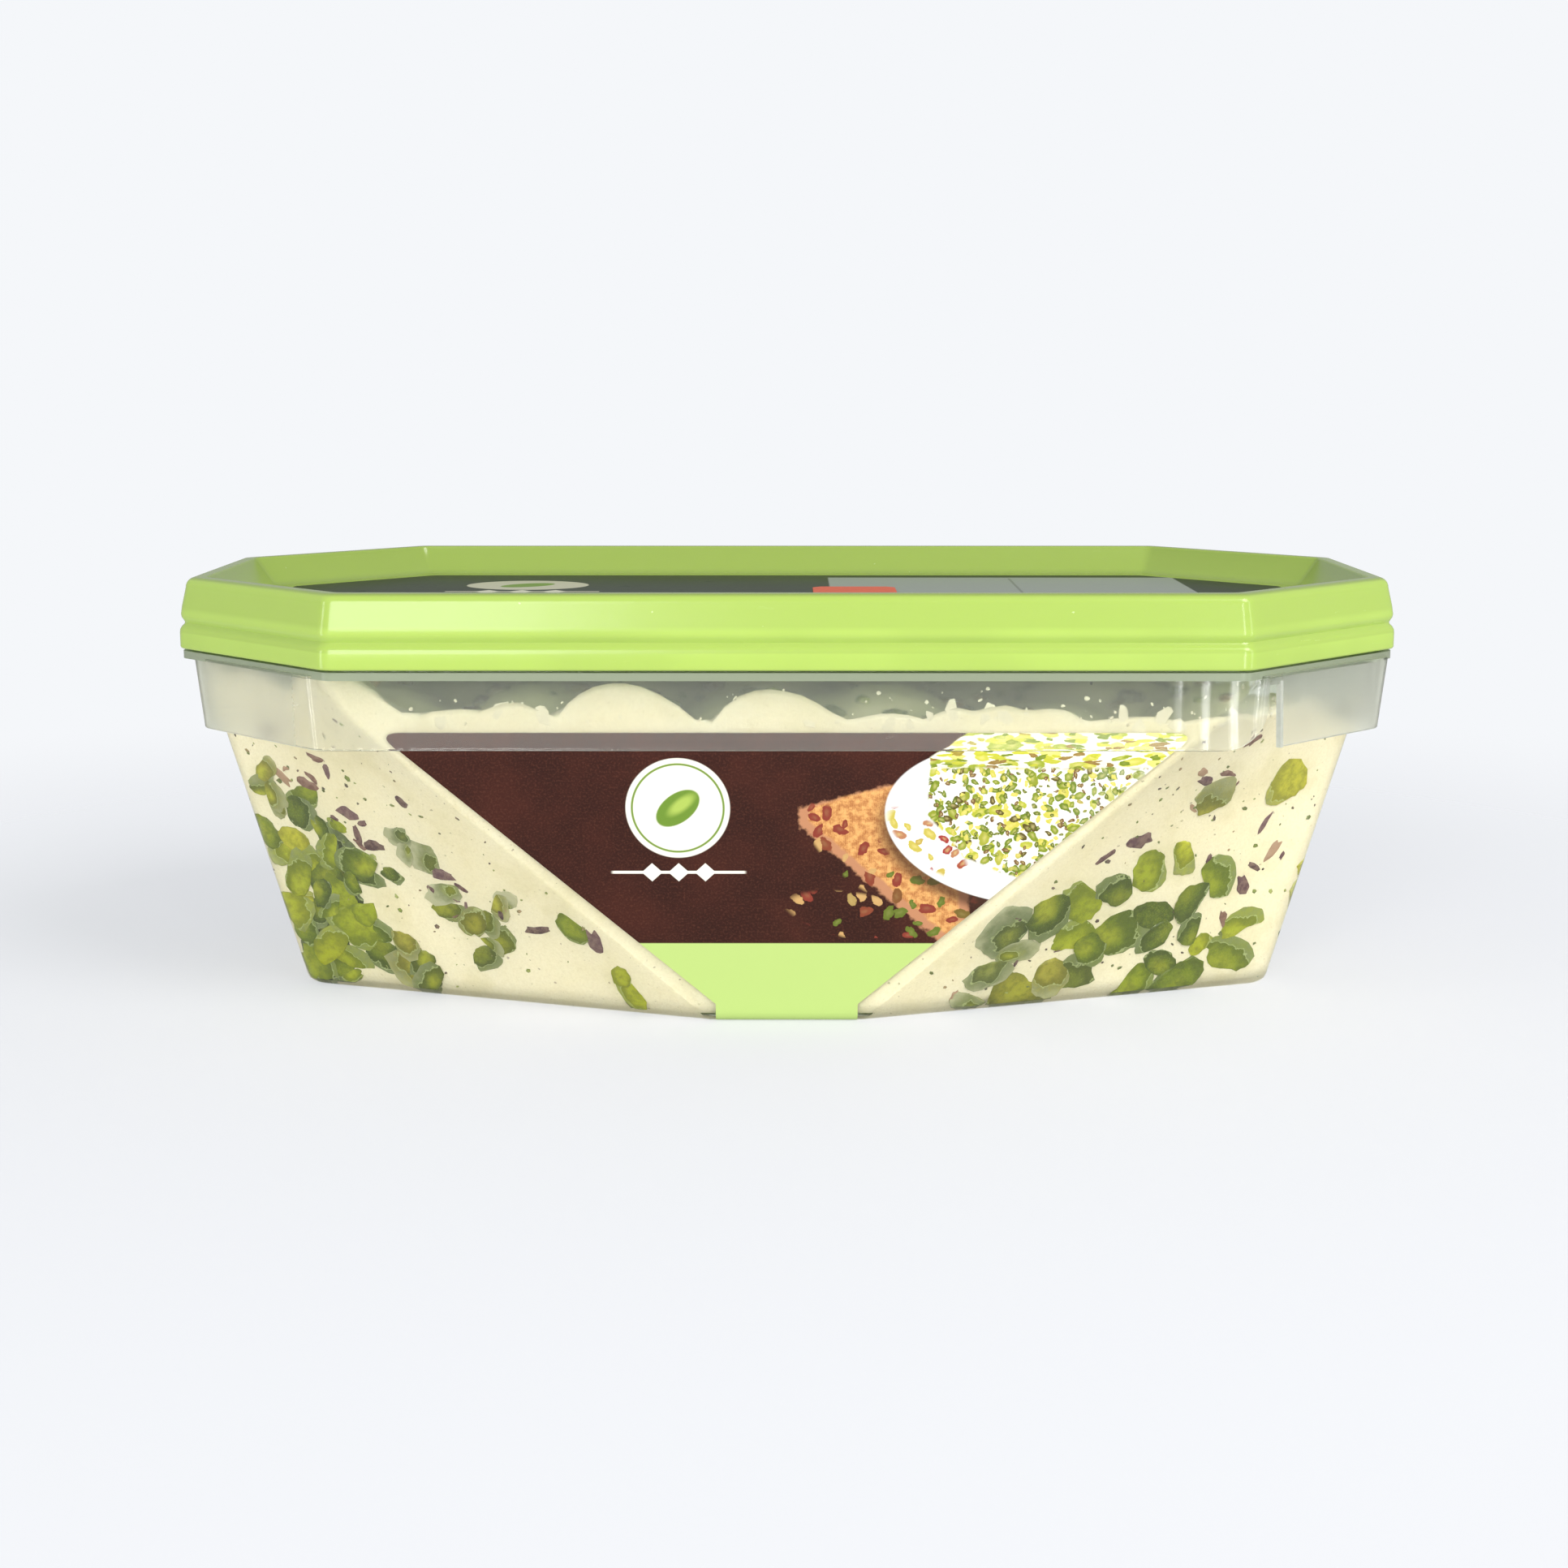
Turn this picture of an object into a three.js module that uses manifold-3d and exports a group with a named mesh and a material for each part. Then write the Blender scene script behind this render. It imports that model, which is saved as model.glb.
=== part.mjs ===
// A shallow eight-sided sweet tub: clear faceted tub with a hanging collar, halva inside, a press-on lid,
// a wrap-round label let into the wall, a lid label and a small sticker on it.
// Millimetres, +Z up. The origin is the centre of the foot, on the surface that the tub stands on.
// +X runs along the length and -Y faces the front.
import * as THREE from "three";
import { mergeVertices } from "three/addons/utils/BufferGeometryUtils.js";
import Module from "manifold-3d";

// Driving sizes ------------------------------------------------------------------------------------------
const LID_LENGTH = 170; // over the lower band of the lid
const LID_DEPTH = 85;
const LID_CUT = 24.7; // how much each corner of the lid's rectangle is cut off, along both sides
const LID_TOP = 60.3;
const LID_FOOT = 50.4; // lower edge of the lid's skirt
const FOOT_LENGTH = 140.6;
const FOOT_DEPTH = 60.4;
const FOOT_FRONT = 21.4; // the foot's short front edge, between the two creases
const FOOT_END = 19.8;
const WALL = 0.9;
const FLOOR = 1.2;
const GAP = 0.3; // between pieces that fit into each other

// Lid ----------------------------------------------------------------------------------------------------
const BAND_STEP = 0.9; // the upper band is set back this far from the lower one
const BAND_TOP = 54.9;
const LID_WALL = 1.0;
const RIM_ROUND = 1.4; // rounding of the rim's outer top edge
const RIM_INNER = 4.0; // the rim's flat top ends this far in
const PANEL_TOP = 56.1; // the sunk panel that takes the label
const PANEL_INSET = 7.6;
const PANEL_THICK = 1.2;

// Tub ----------------------------------------------------------------------------------------------------
const FOOT_EDGE = 1.3; // rounding where the walls meet the foot
const FOOT_CORNER = 0.38; // its middle point is this far in and this high
const FOOT_ROUND = 0.8; // rounding of the foot's creases, seen from above
const END_ROUND = 3; // rounding of the corners at the two ends
const KNEE_HEIGHT = 43; // above this the wall stands nearly upright, behind the collar
const KNEE = { length: 162, depth: 75, front: 114.8, end: 31.4, round: 2.4 };
const NECK_HEIGHT = 49.05; // underside of the flange
const NECK = { length: 162, depth: 76.4, front: 124, end: 33, round: 3 };
const MOUTH_ROUND = 2;
const FLANGE_ROUND = 2.4;
const FLANGE_TOP = LID_FOOT - GAP;
const FLANGE_INSET = 0.4; // insets are measured inwards from the lid's lower band
const UPSTAND_INSET = BAND_STEP + LID_WALL + GAP;
const UPSTAND_TOP = LID_TOP - 1.3 - GAP;
const UPSTAND_WALL = 0.8;
const COLLAR_FOOT = 39.4;
const COLLAR_WALL = 0.75;
const COLLAR_FRONT = 125.6; // length of the collar's front face
const COLLAR_INSET_TOP = 2.4;
const COLLAR_INSET_FOOT = 2.9;
const COLLAR_CUT = 20.5; // how much its corners are cut off, along the ends
const COLLAR_ROUND = 2.2;
const COLLAR_ROOT = 0.4; // how far it reaches up into the flange
const COLLAR_FLARE = 1.2; // the loosened collar section at the +X end stands this much further out
const SLIT_WIDTH = 1.6; // the tear slit in the collar, just past its front corner
const SLIT_ROUND = 6.2; // big rounded corner of the collar's front section beside the slit

// Labels -------------------------------------------------------------------------------------------------
const LABEL_THICK = 0.25;
const LABEL_TOP = 41.5;
const LABEL_TOP_HALF = 54.4;
const LABEL_FOOT_HALF = 9.8; // half width of the strip that passes under the foot
const LABEL_STRAIGHT = 2.6; // the strip keeps that width up to here
const LABEL_CORNER = 2;
const LABEL_CLEAR = 0.08; // clearance of the label in its pocket
const LID_LABEL = { length: 150, depth: 66, cut: 18.5, thick: 0.2 };
const STICKER = { x: 10.1, y: 4.5, length: 12.4, depth: 15, thick: 0.12 };
const LAY = 0.06; // air under a label that lies on a flat face

// Halva --------------------------------------------------------------------------------------------------
// The poured folds against the front wall, from left to right: centre, crest height and half width.
const FRONT_FOLDS = [
  [-62, 48.0, 13], [-46, 45.6, 11], [-24, 48.0, 13], [-1.5, 47.4, 9.5],
  [14, 44.0, 8.5], [30, 43.4, 10], [46, 43.0, 10], [63, 44.0, 13],
];
const FOLD_ROWS = [-36, -18, 1, 19, 36]; // where the rows of folds run, from front to back
const FOLD_DEPTH = 14; // half depth of a fold
const FOLD_SINK = 5.5; // how far a fold falls off at its edge
const HALVA_LOW = 41.2; // nothing of the top is lower than this
const HALVA_STEP = 3.2; // grid of the top surface
const HALVA_CELLS = [52, 26];

// Outlines -----------------------------------------------------------------------------------------------
const ARC_STEPS = 3;
const EDGE_STEPS = 5;

/** Eight corners, anticlockwise from the right end of the front edge. */
function octagon(halfLength, halfDepth, frontHalf, endHalf) {
  const quarter = [[frontHalf, -halfDepth], [halfLength, -endHalf]];
  const right = [...quarter, ...quarter.map(([x, y]) => [x, -y]).reverse()];
  const left = right.map(([x, y]) => [-x, y]).reverse();
  return [...right, ...left].map(([x, y]) => new THREE.Vector2(x, y));
}

/** An octagon made by cutting the corners off a rectangle. */
function cutRectangle(length, depth, cut) {
  return octagon(length / 2, depth / 2, length / 2 - cut, depth / 2 - cut);
}

/** Moves every edge of a convex outline inwards by the same distance. */
function inset(corners, distance) {
  const n = corners.length;
  const edges = corners.map((a, i) => {
    const along = corners[(i + 1) % n].clone().sub(a).normalize();
    const inwards = new THREE.Vector2(-along.y, along.x);
    return { start: a.clone().addScaledVector(inwards, distance), along };
  });
  return edges.map((edge, i) => {
    const before = edges[(i + n - 1) % n];
    const between = edge.start.clone().sub(before.start);
    const travel = between.cross(edge.along) / before.along.cross(edge.along);
    return before.start.clone().addScaledVector(before.along, travel);
  });
}

/** The lid's outline, set in from its lower band. */
const lidOutline = (distance) => inset(cutRectangle(LID_LENGTH, LID_DEPTH, LID_CUT), distance);

/** One arc of points for each corner. The corners at the two ends can have their own radius. */
function cornerArcs(corners, frontRadius, endRadius) {
  const n = corners.length;
  return corners.map((corner, i) => {
    const radius = i % 4 === 1 || i % 4 === 2 ? endRadius : frontRadius;
    const before = corners[(i + n - 1) % n].clone().sub(corner).normalize();
    const after = corners[(i + 1) % n].clone().sub(corner).normalize();
    const half = Math.acos(THREE.MathUtils.clamp(before.dot(after), -1, 1)) / 2;
    const middle = before.clone().add(after).normalize();
    const centre = corner.clone().addScaledVector(middle, radius / Math.sin(half));
    const start = corner.clone().addScaledVector(before, radius / Math.tan(half)).sub(centre);
    const sweep = Math.PI - 2 * half;
    return Array.from({ length: ARC_STEPS + 1 }, (_, k) =>
      start.clone().rotateAround(new THREE.Vector2(), (sweep * k) / ARC_STEPS).add(centre),
    );
  });
}

/** Points round an outline with rounded corners. */
const rounded = (corners, radius) => cornerArcs(corners, radius, radius).flat();

/** A ring of points at one height. The slanting edges, which twist as they rise, get points in between. */
function ring(corners, height, frontRadius, endRadius = frontRadius) {
  const arcs = cornerArcs(corners, frontRadius, endRadius);
  const flat = arcs.flatMap((arc, i) => {
    if (i % 2 === 1) return arc;
    const [from, to] = [arc.at(-1), arcs[i + 1][0]];
    const between = Array.from({ length: EDGE_STEPS - 1 }, (_, k) =>
      from.clone().lerp(to, (k + 1) / EDGE_STEPS),
    );
    return [...arc, ...between];
  });
  return flat.map((p) => new THREE.Vector3(p.x, p.y, height));
}

// Solids -------------------------------------------------------------------------------------------------
/** Skins a list of rings that each have as many points. The ends get flat caps, or meet if it is closed. */
function loft(rings, closed = false) {
  const n = rings[0].length;
  const points = rings.flat();
  const faces = [];
  for (let r = 0; r < rings.length - (closed ? 0 : 1); r++) {
    const next = ((r + 1) % rings.length) * n;
    for (let k = 0; k < n; k++) {
      const after = (k + 1) % n;
      faces.push(r * n + k, r * n + after, next + after, r * n + k, next + after, next + k);
    }
  }
  const cap = (start, downwards) => {
    const sum = points.slice(start, start + n).reduce((s, p) => s.add(p), new THREE.Vector3());
    const middle = points.push(sum.divideScalar(n)) - 1;
    for (let k = 0; k < n; k++) {
      const [a, b] = [start + k, start + ((k + 1) % n)];
      faces.push(middle, ...(downwards ? [b, a] : [a, b]));
    }
  };
  if (!closed) {
    cap(0, true);
    cap((rings.length - 1) * n, false);
  }
  const geometry = new THREE.BufferGeometry().setFromPoints(points);
  geometry.setIndex(faces);
  return geometry;
}

/** A flat outline, raised by a thickness. */
function plate(corners, radius, floor, thick) {
  const shape = new THREE.Shape(rounded(corners, radius));
  const geometry = new THREE.ExtrudeGeometry(shape, { depth: thick, bevelEnabled: false });
  return geometry.translate(0, 0, floor);
}

const wasm = await Module();
wasm.setup();

function toSolid(geometry) {
  const bare = geometry.clone();
  bare.deleteAttribute("normal");
  bare.deleteAttribute("uv");
  const merged = mergeVertices(bare, 1e-4);
  return new wasm.Manifold(
    new wasm.Mesh({
      numProp: 3,
      vertProperties: merged.attributes.position.array,
      triVerts: new Uint32Array(merged.index.array),
    }),
  );
}

function toGeometry(solid) {
  const mesh = solid.getMesh();
  const geometry = new THREE.BufferGeometry();
  geometry.setAttribute("position", new THREE.BufferAttribute(mesh.vertProperties, 3));
  geometry.setIndex(new THREE.BufferAttribute(mesh.triVerts, 1));
  const faceted = geometry.toNonIndexed();
  faceted.computeVertexNormals();
  return faceted;
}

// Tub ----------------------------------------------------------------------------------------------------
const sized = ({ length, depth, front, end }) => octagon(length / 2, depth / 2, front / 2, end / 2);
const foot = octagon(FOOT_LENGTH / 2, FOOT_DEPTH / 2, FOOT_FRONT / 2, FOOT_END / 2);
const knee = sized(KNEE);
const neck = sized(NECK);

/** The outside of the wall at a height up to the knee. */
const wallAt = (height) => foot.map((p, i) => p.clone().lerp(knee[i], height / KNEE_HEIGHT));

/** The long creases are sharp at the foot and softer higher up. */
const creaseAt = (height) => THREE.MathUtils.lerp(FOOT_ROUND, KNEE.round, height / KNEE_HEIGHT);
const WALL_STEPS = 8;

/** A ring on the tapered wall, some way in from its outside. */
const wallRing = (height, distance) =>
  ring(inset(wallAt(height), distance), height, creaseAt(height), END_ROUND);

/** Rings up the tapered wall to the knee. */
const wallRings = (from, distance) =>
  Array.from({ length: WALL_STEPS + 1 }, (_, k) =>
    wallRing(THREE.MathUtils.lerp(from, KNEE_HEIGHT, k / WALL_STEPS), distance),
  );

/** The rings of the tub's inside, some way further in, from the floor up to the mouth. */
function roomRings(extra) {
  const distance = WALL + extra;
  const floor = FLOOR + extra;
  const mouth = inset(neck, distance);
  return [
    ring(inset(wallAt(floor), distance + FOOT_EDGE), floor, FOOT_ROUND, END_ROUND - 1),
    ...wallRings(floor + FOOT_EDGE, distance),
    ring(mouth, NECK_HEIGHT, MOUTH_ROUND, END_ROUND - WALL),
    ring(mouth, FLANGE_TOP, MOUTH_ROUND, END_ROUND - WALL),
  ];
}

function tubBody() {
  const rim = (height, distance) => ring(lidOutline(distance), height, FLANGE_ROUND);
  const outside = loft([
    ring(inset(foot, FOOT_EDGE), 0, FOOT_ROUND, END_ROUND - 1),
    wallRing(FOOT_CORNER, FOOT_CORNER),
    ...wallRings(FOOT_EDGE, 0),
    ring(neck, NECK_HEIGHT, NECK.round, END_ROUND),
    rim(NECK_HEIGHT, FLANGE_INSET),
    rim(FLANGE_TOP, FLANGE_INSET),
    rim(FLANGE_TOP, UPSTAND_INSET),
    rim(UPSTAND_TOP, UPSTAND_INSET),
  ]);
  const inside = loft([
    ...roomRings(0),
    rim(FLANGE_TOP, UPSTAND_INSET + UPSTAND_WALL),
    rim(UPSTAND_TOP + 1, UPSTAND_INSET + UPSTAND_WALL),
  ]);
  return toSolid(outside).subtract(toSolid(inside));
}

/** The collar's outline. Its section at the +X end, past the slit, stands further out. */
function collarOutline(distance) {
  const halfLength = LID_LENGTH / 2 - COLLAR_INSET_TOP;
  const halfDepth = LID_DEPTH / 2 - COLLAR_INSET_TOP;
  const plain = octagon(halfLength, halfDepth, COLLAR_FRONT / 2, halfDepth - COLLAR_CUT);
  plain[1].x += COLLAR_FLARE;
  plain[2].x += COLLAR_FLARE;
  return inset(plain, distance - COLLAR_INSET_TOP);
}

/** Cut out of the collar just past its front corner: a slit, and a big round corner on the front section. */
function tearSlit() {
  const left = COLLAR_FRONT / 2 + 0.6;
  const top = NECK_HEIGHT - 0.9;
  const low = COLLAR_FOOT - 1;
  const shape = new THREE.Shape();
  shape.moveTo(left - SLIT_ROUND, low);
  shape.lineTo(left - SLIT_ROUND, COLLAR_FOOT);
  shape.absarc(left - SLIT_ROUND, COLLAR_FOOT + SLIT_ROUND, SLIT_ROUND, -Math.PI / 2, 0, false);
  shape.lineTo(left, top);
  shape.lineTo(left + SLIT_WIDTH, top);
  shape.lineTo(left + SLIT_WIDTH + 0.8, low);
  const geometry = new THREE.ExtrudeGeometry(shape, { depth: 12, bevelEnabled: false, curveSegments: 8 });
  return toSolid(geometry.rotateX(Math.PI / 2).translate(0, -33, 0));
}

function collar() {
  const root = NECK_HEIGHT + COLLAR_ROOT;
  const rings = [
    ring(collarOutline(COLLAR_INSET_TOP + COLLAR_WALL), root, COLLAR_ROUND),
    ring(collarOutline(COLLAR_INSET_FOOT + COLLAR_WALL), COLLAR_FOOT, COLLAR_ROUND),
    ring(collarOutline(COLLAR_INSET_FOOT), COLLAR_FOOT, COLLAR_ROUND),
    ring(collarOutline(COLLAR_INSET_TOP), root, COLLAR_ROUND),
  ];
  return toSolid(loft(rings, true)).subtract(tearSlit());
}

// Wrap label ---------------------------------------------------------------------------------------------
/** Half the depth of the wall's outside at a height. */
const frontAt = (height) => THREE.MathUtils.lerp(FOOT_DEPTH, KNEE.depth, height / KNEE_HEIGHT) / 2;

/** Down the front, under the foot and up the back, as points across the tub, some way in from its outside. */
function wrapPath(distance, top) {
  const half = [
    [frontAt(top) - distance, top],
    [frontAt(FOOT_EDGE) - distance, FOOT_EDGE],
    [frontAt(FOOT_CORNER) - FOOT_CORNER - distance * 0.7, FOOT_CORNER + distance * 0.7],
    [frontAt(0) - FOOT_EDGE, distance],
  ];
  const front = half.map(([y, z]) => new THREE.Vector2(-y, z));
  const back = half.map(([y, z]) => new THREE.Vector2(y, z)).reverse();
  return [...front, ...back];
}

/** The wrap label. Grown by its clearance it is the pocket in the wall that it sits in. */
function wrapSolid(grow) {
  const top = LABEL_TOP + grow;
  const section = new THREE.Shape([
    ...wrapPath(grow ? -1 : 0, top),
    ...wrapPath(LABEL_THICK + grow, top).reverse(),
  ]);
  const width = 2 * LABEL_TOP_HALF + 10;
  const band = new THREE.ExtrudeGeometry(section, { depth: width, bevelEnabled: false });
  band.rotateX(Math.PI / 2).rotateZ(Math.PI / 2).translate(-width / 2, 0, 0);

  const slope = (LABEL_TOP_HALF - LABEL_FOOT_HALF) / (LABEL_TOP - LABEL_STRAIGHT);
  const low = LABEL_FOOT_HALF + grow;
  const edgeAt = (height) => low + slope * (height - LABEL_STRAIGHT) + grow;
  const high = edgeAt(top);
  const turn = edgeAt(top - LABEL_CORNER); // where the slanting edge starts to round over
  const over = high - LABEL_CORNER * 1.6;
  const face = new THREE.Shape();
  face.moveTo(-low, -3);
  face.lineTo(low, -3);
  face.lineTo(low, LABEL_STRAIGHT);
  face.lineTo(turn, top - LABEL_CORNER);
  face.quadraticCurveTo(high, top, over, top);
  face.lineTo(-over, top);
  face.quadraticCurveTo(-high, top, -turn, top - LABEL_CORNER);
  face.lineTo(-low, LABEL_STRAIGHT);
  const depth = LID_DEPTH + 20;
  const window = new THREE.ExtrudeGeometry(face, { depth, bevelEnabled: false, curveSegments: 5 });
  window.rotateX(Math.PI / 2).translate(0, depth / 2, 0);
  return toSolid(band).intersect(toSolid(window));
}

// Lid ----------------------------------------------------------------------------------------------------
/** The section of the lid as [inset, height], from under its panel, round the rim, to the top of its panel. */
function lidSection() {
  const under = PANEL_TOP - PANEL_THICK;
  const roof = UPSTAND_TOP + GAP;
  return [
    [PANEL_INSET - 0.4, under],
    [RIM_INNER - 0.5, roof],
    [BAND_STEP + LID_WALL, roof],
    [BAND_STEP + LID_WALL, BAND_TOP - 0.3],
    [LID_WALL, BAND_TOP - 1.2],
    [LID_WALL, LID_FOOT],
    [0.3, LID_FOOT],
    [0, LID_FOOT + 0.3],
    [0, BAND_TOP - 0.35],
    [0.35, BAND_TOP],
    [BAND_STEP, BAND_TOP],
    [BAND_STEP + 0.1, LID_TOP - RIM_ROUND],
    [BAND_STEP + 0.45, LID_TOP - 0.45],
    [BAND_STEP + RIM_ROUND, LID_TOP],
    [RIM_INNER - 0.5, LID_TOP],
    [RIM_INNER, LID_TOP - 0.35],
    [PANEL_INSET - 1.5, PANEL_TOP + 1.0],
    [PANEL_INSET - 0.9, PANEL_TOP + 0.3],
    [PANEL_INSET, PANEL_TOP],
  ];
}

const lidLabelOutline = (grow) =>
  cutRectangle(LID_LABEL.length + 2 * grow, LID_LABEL.depth + 2 * grow, LID_LABEL.cut + grow * 0.6);

function lid() {
  const rings = lidSection().map(([distance, height]) =>
    ring(lidOutline(distance), height, Math.max(1, 2.8 - distance * 0.2)),
  );
  const sink = LID_LABEL.thick + LAY;
  const pocket = plate(lidLabelOutline(LABEL_CLEAR), 1.5, PANEL_TOP - sink, 3);
  return toSolid(loft(rings)).subtract(toSolid(pocket));
}

// Halva --------------------------------------------------------------------------------------------------
/** Every fold as centre, crest and half width. Rows behind the front one repeat it, shifted and levelled. */
function folds() {
  return FOLD_ROWS.flatMap((y, row) =>
    FRONT_FOLDS.map(([x, crest, half], k) => {
      if (row === 0) return { x, y, crest, half };
      const shift = 8 * Math.sin(row * 2.3 + k * 1.7);
      return { x: x + shift, y, crest: 45.6 + 1.7 * Math.sin(row * 1.9 + k * 2.6), half };
    }),
  );
}

/** The height of the halva's top. */
function halvaTop(x, y, all) {
  const heights = all.map((f) => {
    const away = ((x - f.x) / f.half) ** 2 + ((y - f.y) / FOLD_DEPTH) ** 2;
    return f.crest - FOLD_SINK * away;
  });
  return Math.max(HALVA_LOW, ...heights);
}

/** A block under a bumpy top, a little larger than the tub. */
function halvaBlock() {
  const all = folds();
  const [nx, ny] = HALVA_CELLS;
  const at = (i, j) => [(i - nx / 2) * HALVA_STEP, (j - ny / 2) * HALVA_STEP];
  const points = [];
  for (const top of [false, true]) {
    for (let j = 0; j <= ny; j++) {
      for (let i = 0; i <= nx; i++) {
        const [x, y] = at(i, j);
        points.push(new THREE.Vector3(x, y, top ? halvaTop(x, y, all) : 0));
      }
    }
  }
  const size = (nx + 1) * (ny + 1);
  const index = (i, j, top) => (top ? size : 0) + j * (nx + 1) + i;
  const faces = [];
  const quad = (a, b, c, d) => faces.push(a, b, c, a, c, d);
  for (let j = 0; j < ny; j++) {
    for (let i = 0; i < nx; i++) {
      quad(index(i, j, true), index(i + 1, j, true), index(i + 1, j + 1, true), index(i, j + 1, true));
      quad(index(i, j, false), index(i, j + 1, false), index(i + 1, j + 1, false), index(i + 1, j, false));
    }
  }
  for (let i = 0; i < nx; i++) {
    quad(index(i, 0, false), index(i + 1, 0, false), index(i + 1, 0, true), index(i, 0, true));
    quad(index(i, ny, false), index(i, ny, true), index(i + 1, ny, true), index(i + 1, ny, false));
  }
  for (let j = 0; j < ny; j++) {
    quad(index(0, j, false), index(0, j, true), index(0, j + 1, true), index(0, j + 1, false));
    quad(index(nx, j, false), index(nx, j + 1, false), index(nx, j + 1, true), index(nx, j, true));
  }
  const geometry = new THREE.BufferGeometry().setFromPoints(points);
  geometry.setIndex(faces);
  return toSolid(geometry);
}

const halva = () => toSolid(loft(roomRings(GAP))).intersect(halvaBlock());

// Sticker ------------------------------------------------------------------------------------------------
function sticker() {
  const corners = cutRectangle(STICKER.length, STICKER.depth, 1.2);
  return plate(corners, 0.6, PANEL_TOP + LAY, STICKER.thick).translate(STICKER.x, STICKER.y, 0);
}

// Scene --------------------------------------------------------------------------------------------------
function piece(name, geometry, colour, options = {}) {
  const material = new THREE.MeshStandardMaterial({ color: colour, roughness: 0.5, ...options });
  material.name = `${name}_material`;
  const mesh = new THREE.Mesh(geometry, material);
  mesh.name = name;
  return mesh;
}

const root = new THREE.Group();
root.name = "sweet_tub";
root.add(
  piece("tub", toGeometry(tubBody().add(collar()).subtract(wrapSolid(LABEL_CLEAR))), 0xe8eef0, {
    roughness: 0.1, transparent: true, opacity: 0.35,
  }),
  piece("halva", toGeometry(halva()), 0xe6dcc0, { roughness: 0.75 }),
  piece("lid", toGeometry(lid()), 0xb8de70, { roughness: 0.3 }),
  piece("wrap_label", toGeometry(wrapSolid(0)), 0x3a211a, { roughness: 0.4 }),
  piece("lid_label", toGeometry(toSolid(plate(lidLabelOutline(0), 1.5, PANEL_TOP - LID_LABEL.thick, LID_LABEL.thick))),
    0x3c443c, { roughness: 0.45 }),
  piece("sticker", toGeometry(toSolid(sticker())), 0xe2552b, { roughness: 0.45 }),
);
export default root;
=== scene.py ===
"""A shut sweet tub of pistachio halva: clear eight-sided tub, green press-on lid, printed labels."""

import math
import random

import bmesh
import bpy
from bpy.props import FloatProperty, FloatVectorProperty, IntProperty, PointerProperty
from mathutils import Matrix, Vector, noise


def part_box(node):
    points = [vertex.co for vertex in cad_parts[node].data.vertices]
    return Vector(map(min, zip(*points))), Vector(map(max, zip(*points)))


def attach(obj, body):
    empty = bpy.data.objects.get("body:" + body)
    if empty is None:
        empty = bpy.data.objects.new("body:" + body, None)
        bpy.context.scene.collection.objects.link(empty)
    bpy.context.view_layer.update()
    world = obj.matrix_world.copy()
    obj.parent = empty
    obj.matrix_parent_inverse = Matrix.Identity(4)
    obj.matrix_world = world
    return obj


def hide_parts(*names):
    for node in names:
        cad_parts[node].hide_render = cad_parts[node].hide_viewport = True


bl_info = {
    "name": "Halva tub",
    "version": (1, 0, 0),
    "blender": (4, 5, 0),
    "location": "View3D > Sidebar > Halva tub",
    "description": "Builds a clear tub of pistachio halva with its lid and labels round a packed model",
    "category": "Object",
}

MM = 0.001
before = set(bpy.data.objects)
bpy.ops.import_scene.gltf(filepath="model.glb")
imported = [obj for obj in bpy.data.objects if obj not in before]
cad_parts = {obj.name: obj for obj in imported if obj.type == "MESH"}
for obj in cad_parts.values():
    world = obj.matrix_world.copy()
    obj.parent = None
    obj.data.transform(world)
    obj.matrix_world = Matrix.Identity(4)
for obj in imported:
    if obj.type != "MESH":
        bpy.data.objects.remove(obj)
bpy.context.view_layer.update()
LID_LOW, LID_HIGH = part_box("lid")
TUB_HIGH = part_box("tub")[1]
LABEL_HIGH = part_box("wrap_label")[1]
LID_LABEL_LOW, LID_LABEL_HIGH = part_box("lid_label")


# Sizes and colours ---------------------------------------------------------------------------------------
def length(name, description, millimetres):
    """A length that a user can change."""
    return FloatProperty(
        name=name, description=description, default=millimetres * MM, unit="LENGTH", precision=5
    )


def colour(name, description, red, green, blue):
    """A colour that a user can change, given as it looks on screen, 0 to 255."""
    return FloatVectorProperty(
        name=name,
        description=description,
        default=screen_colour(red, green, blue),
        size=3,
        min=0.0,
        max=1.0,
        subtype="COLOR",
    )


def screen_colour(red, green, blue):
    """A colour as light, from its 0 to 255 screen values."""

    def light(value):
        share = value / 255
        return share / 12.92 if share <= 0.04045 else ((share + 0.055) / 1.055) ** 2.4

    return (light(red), light(green), light(blue))


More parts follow.
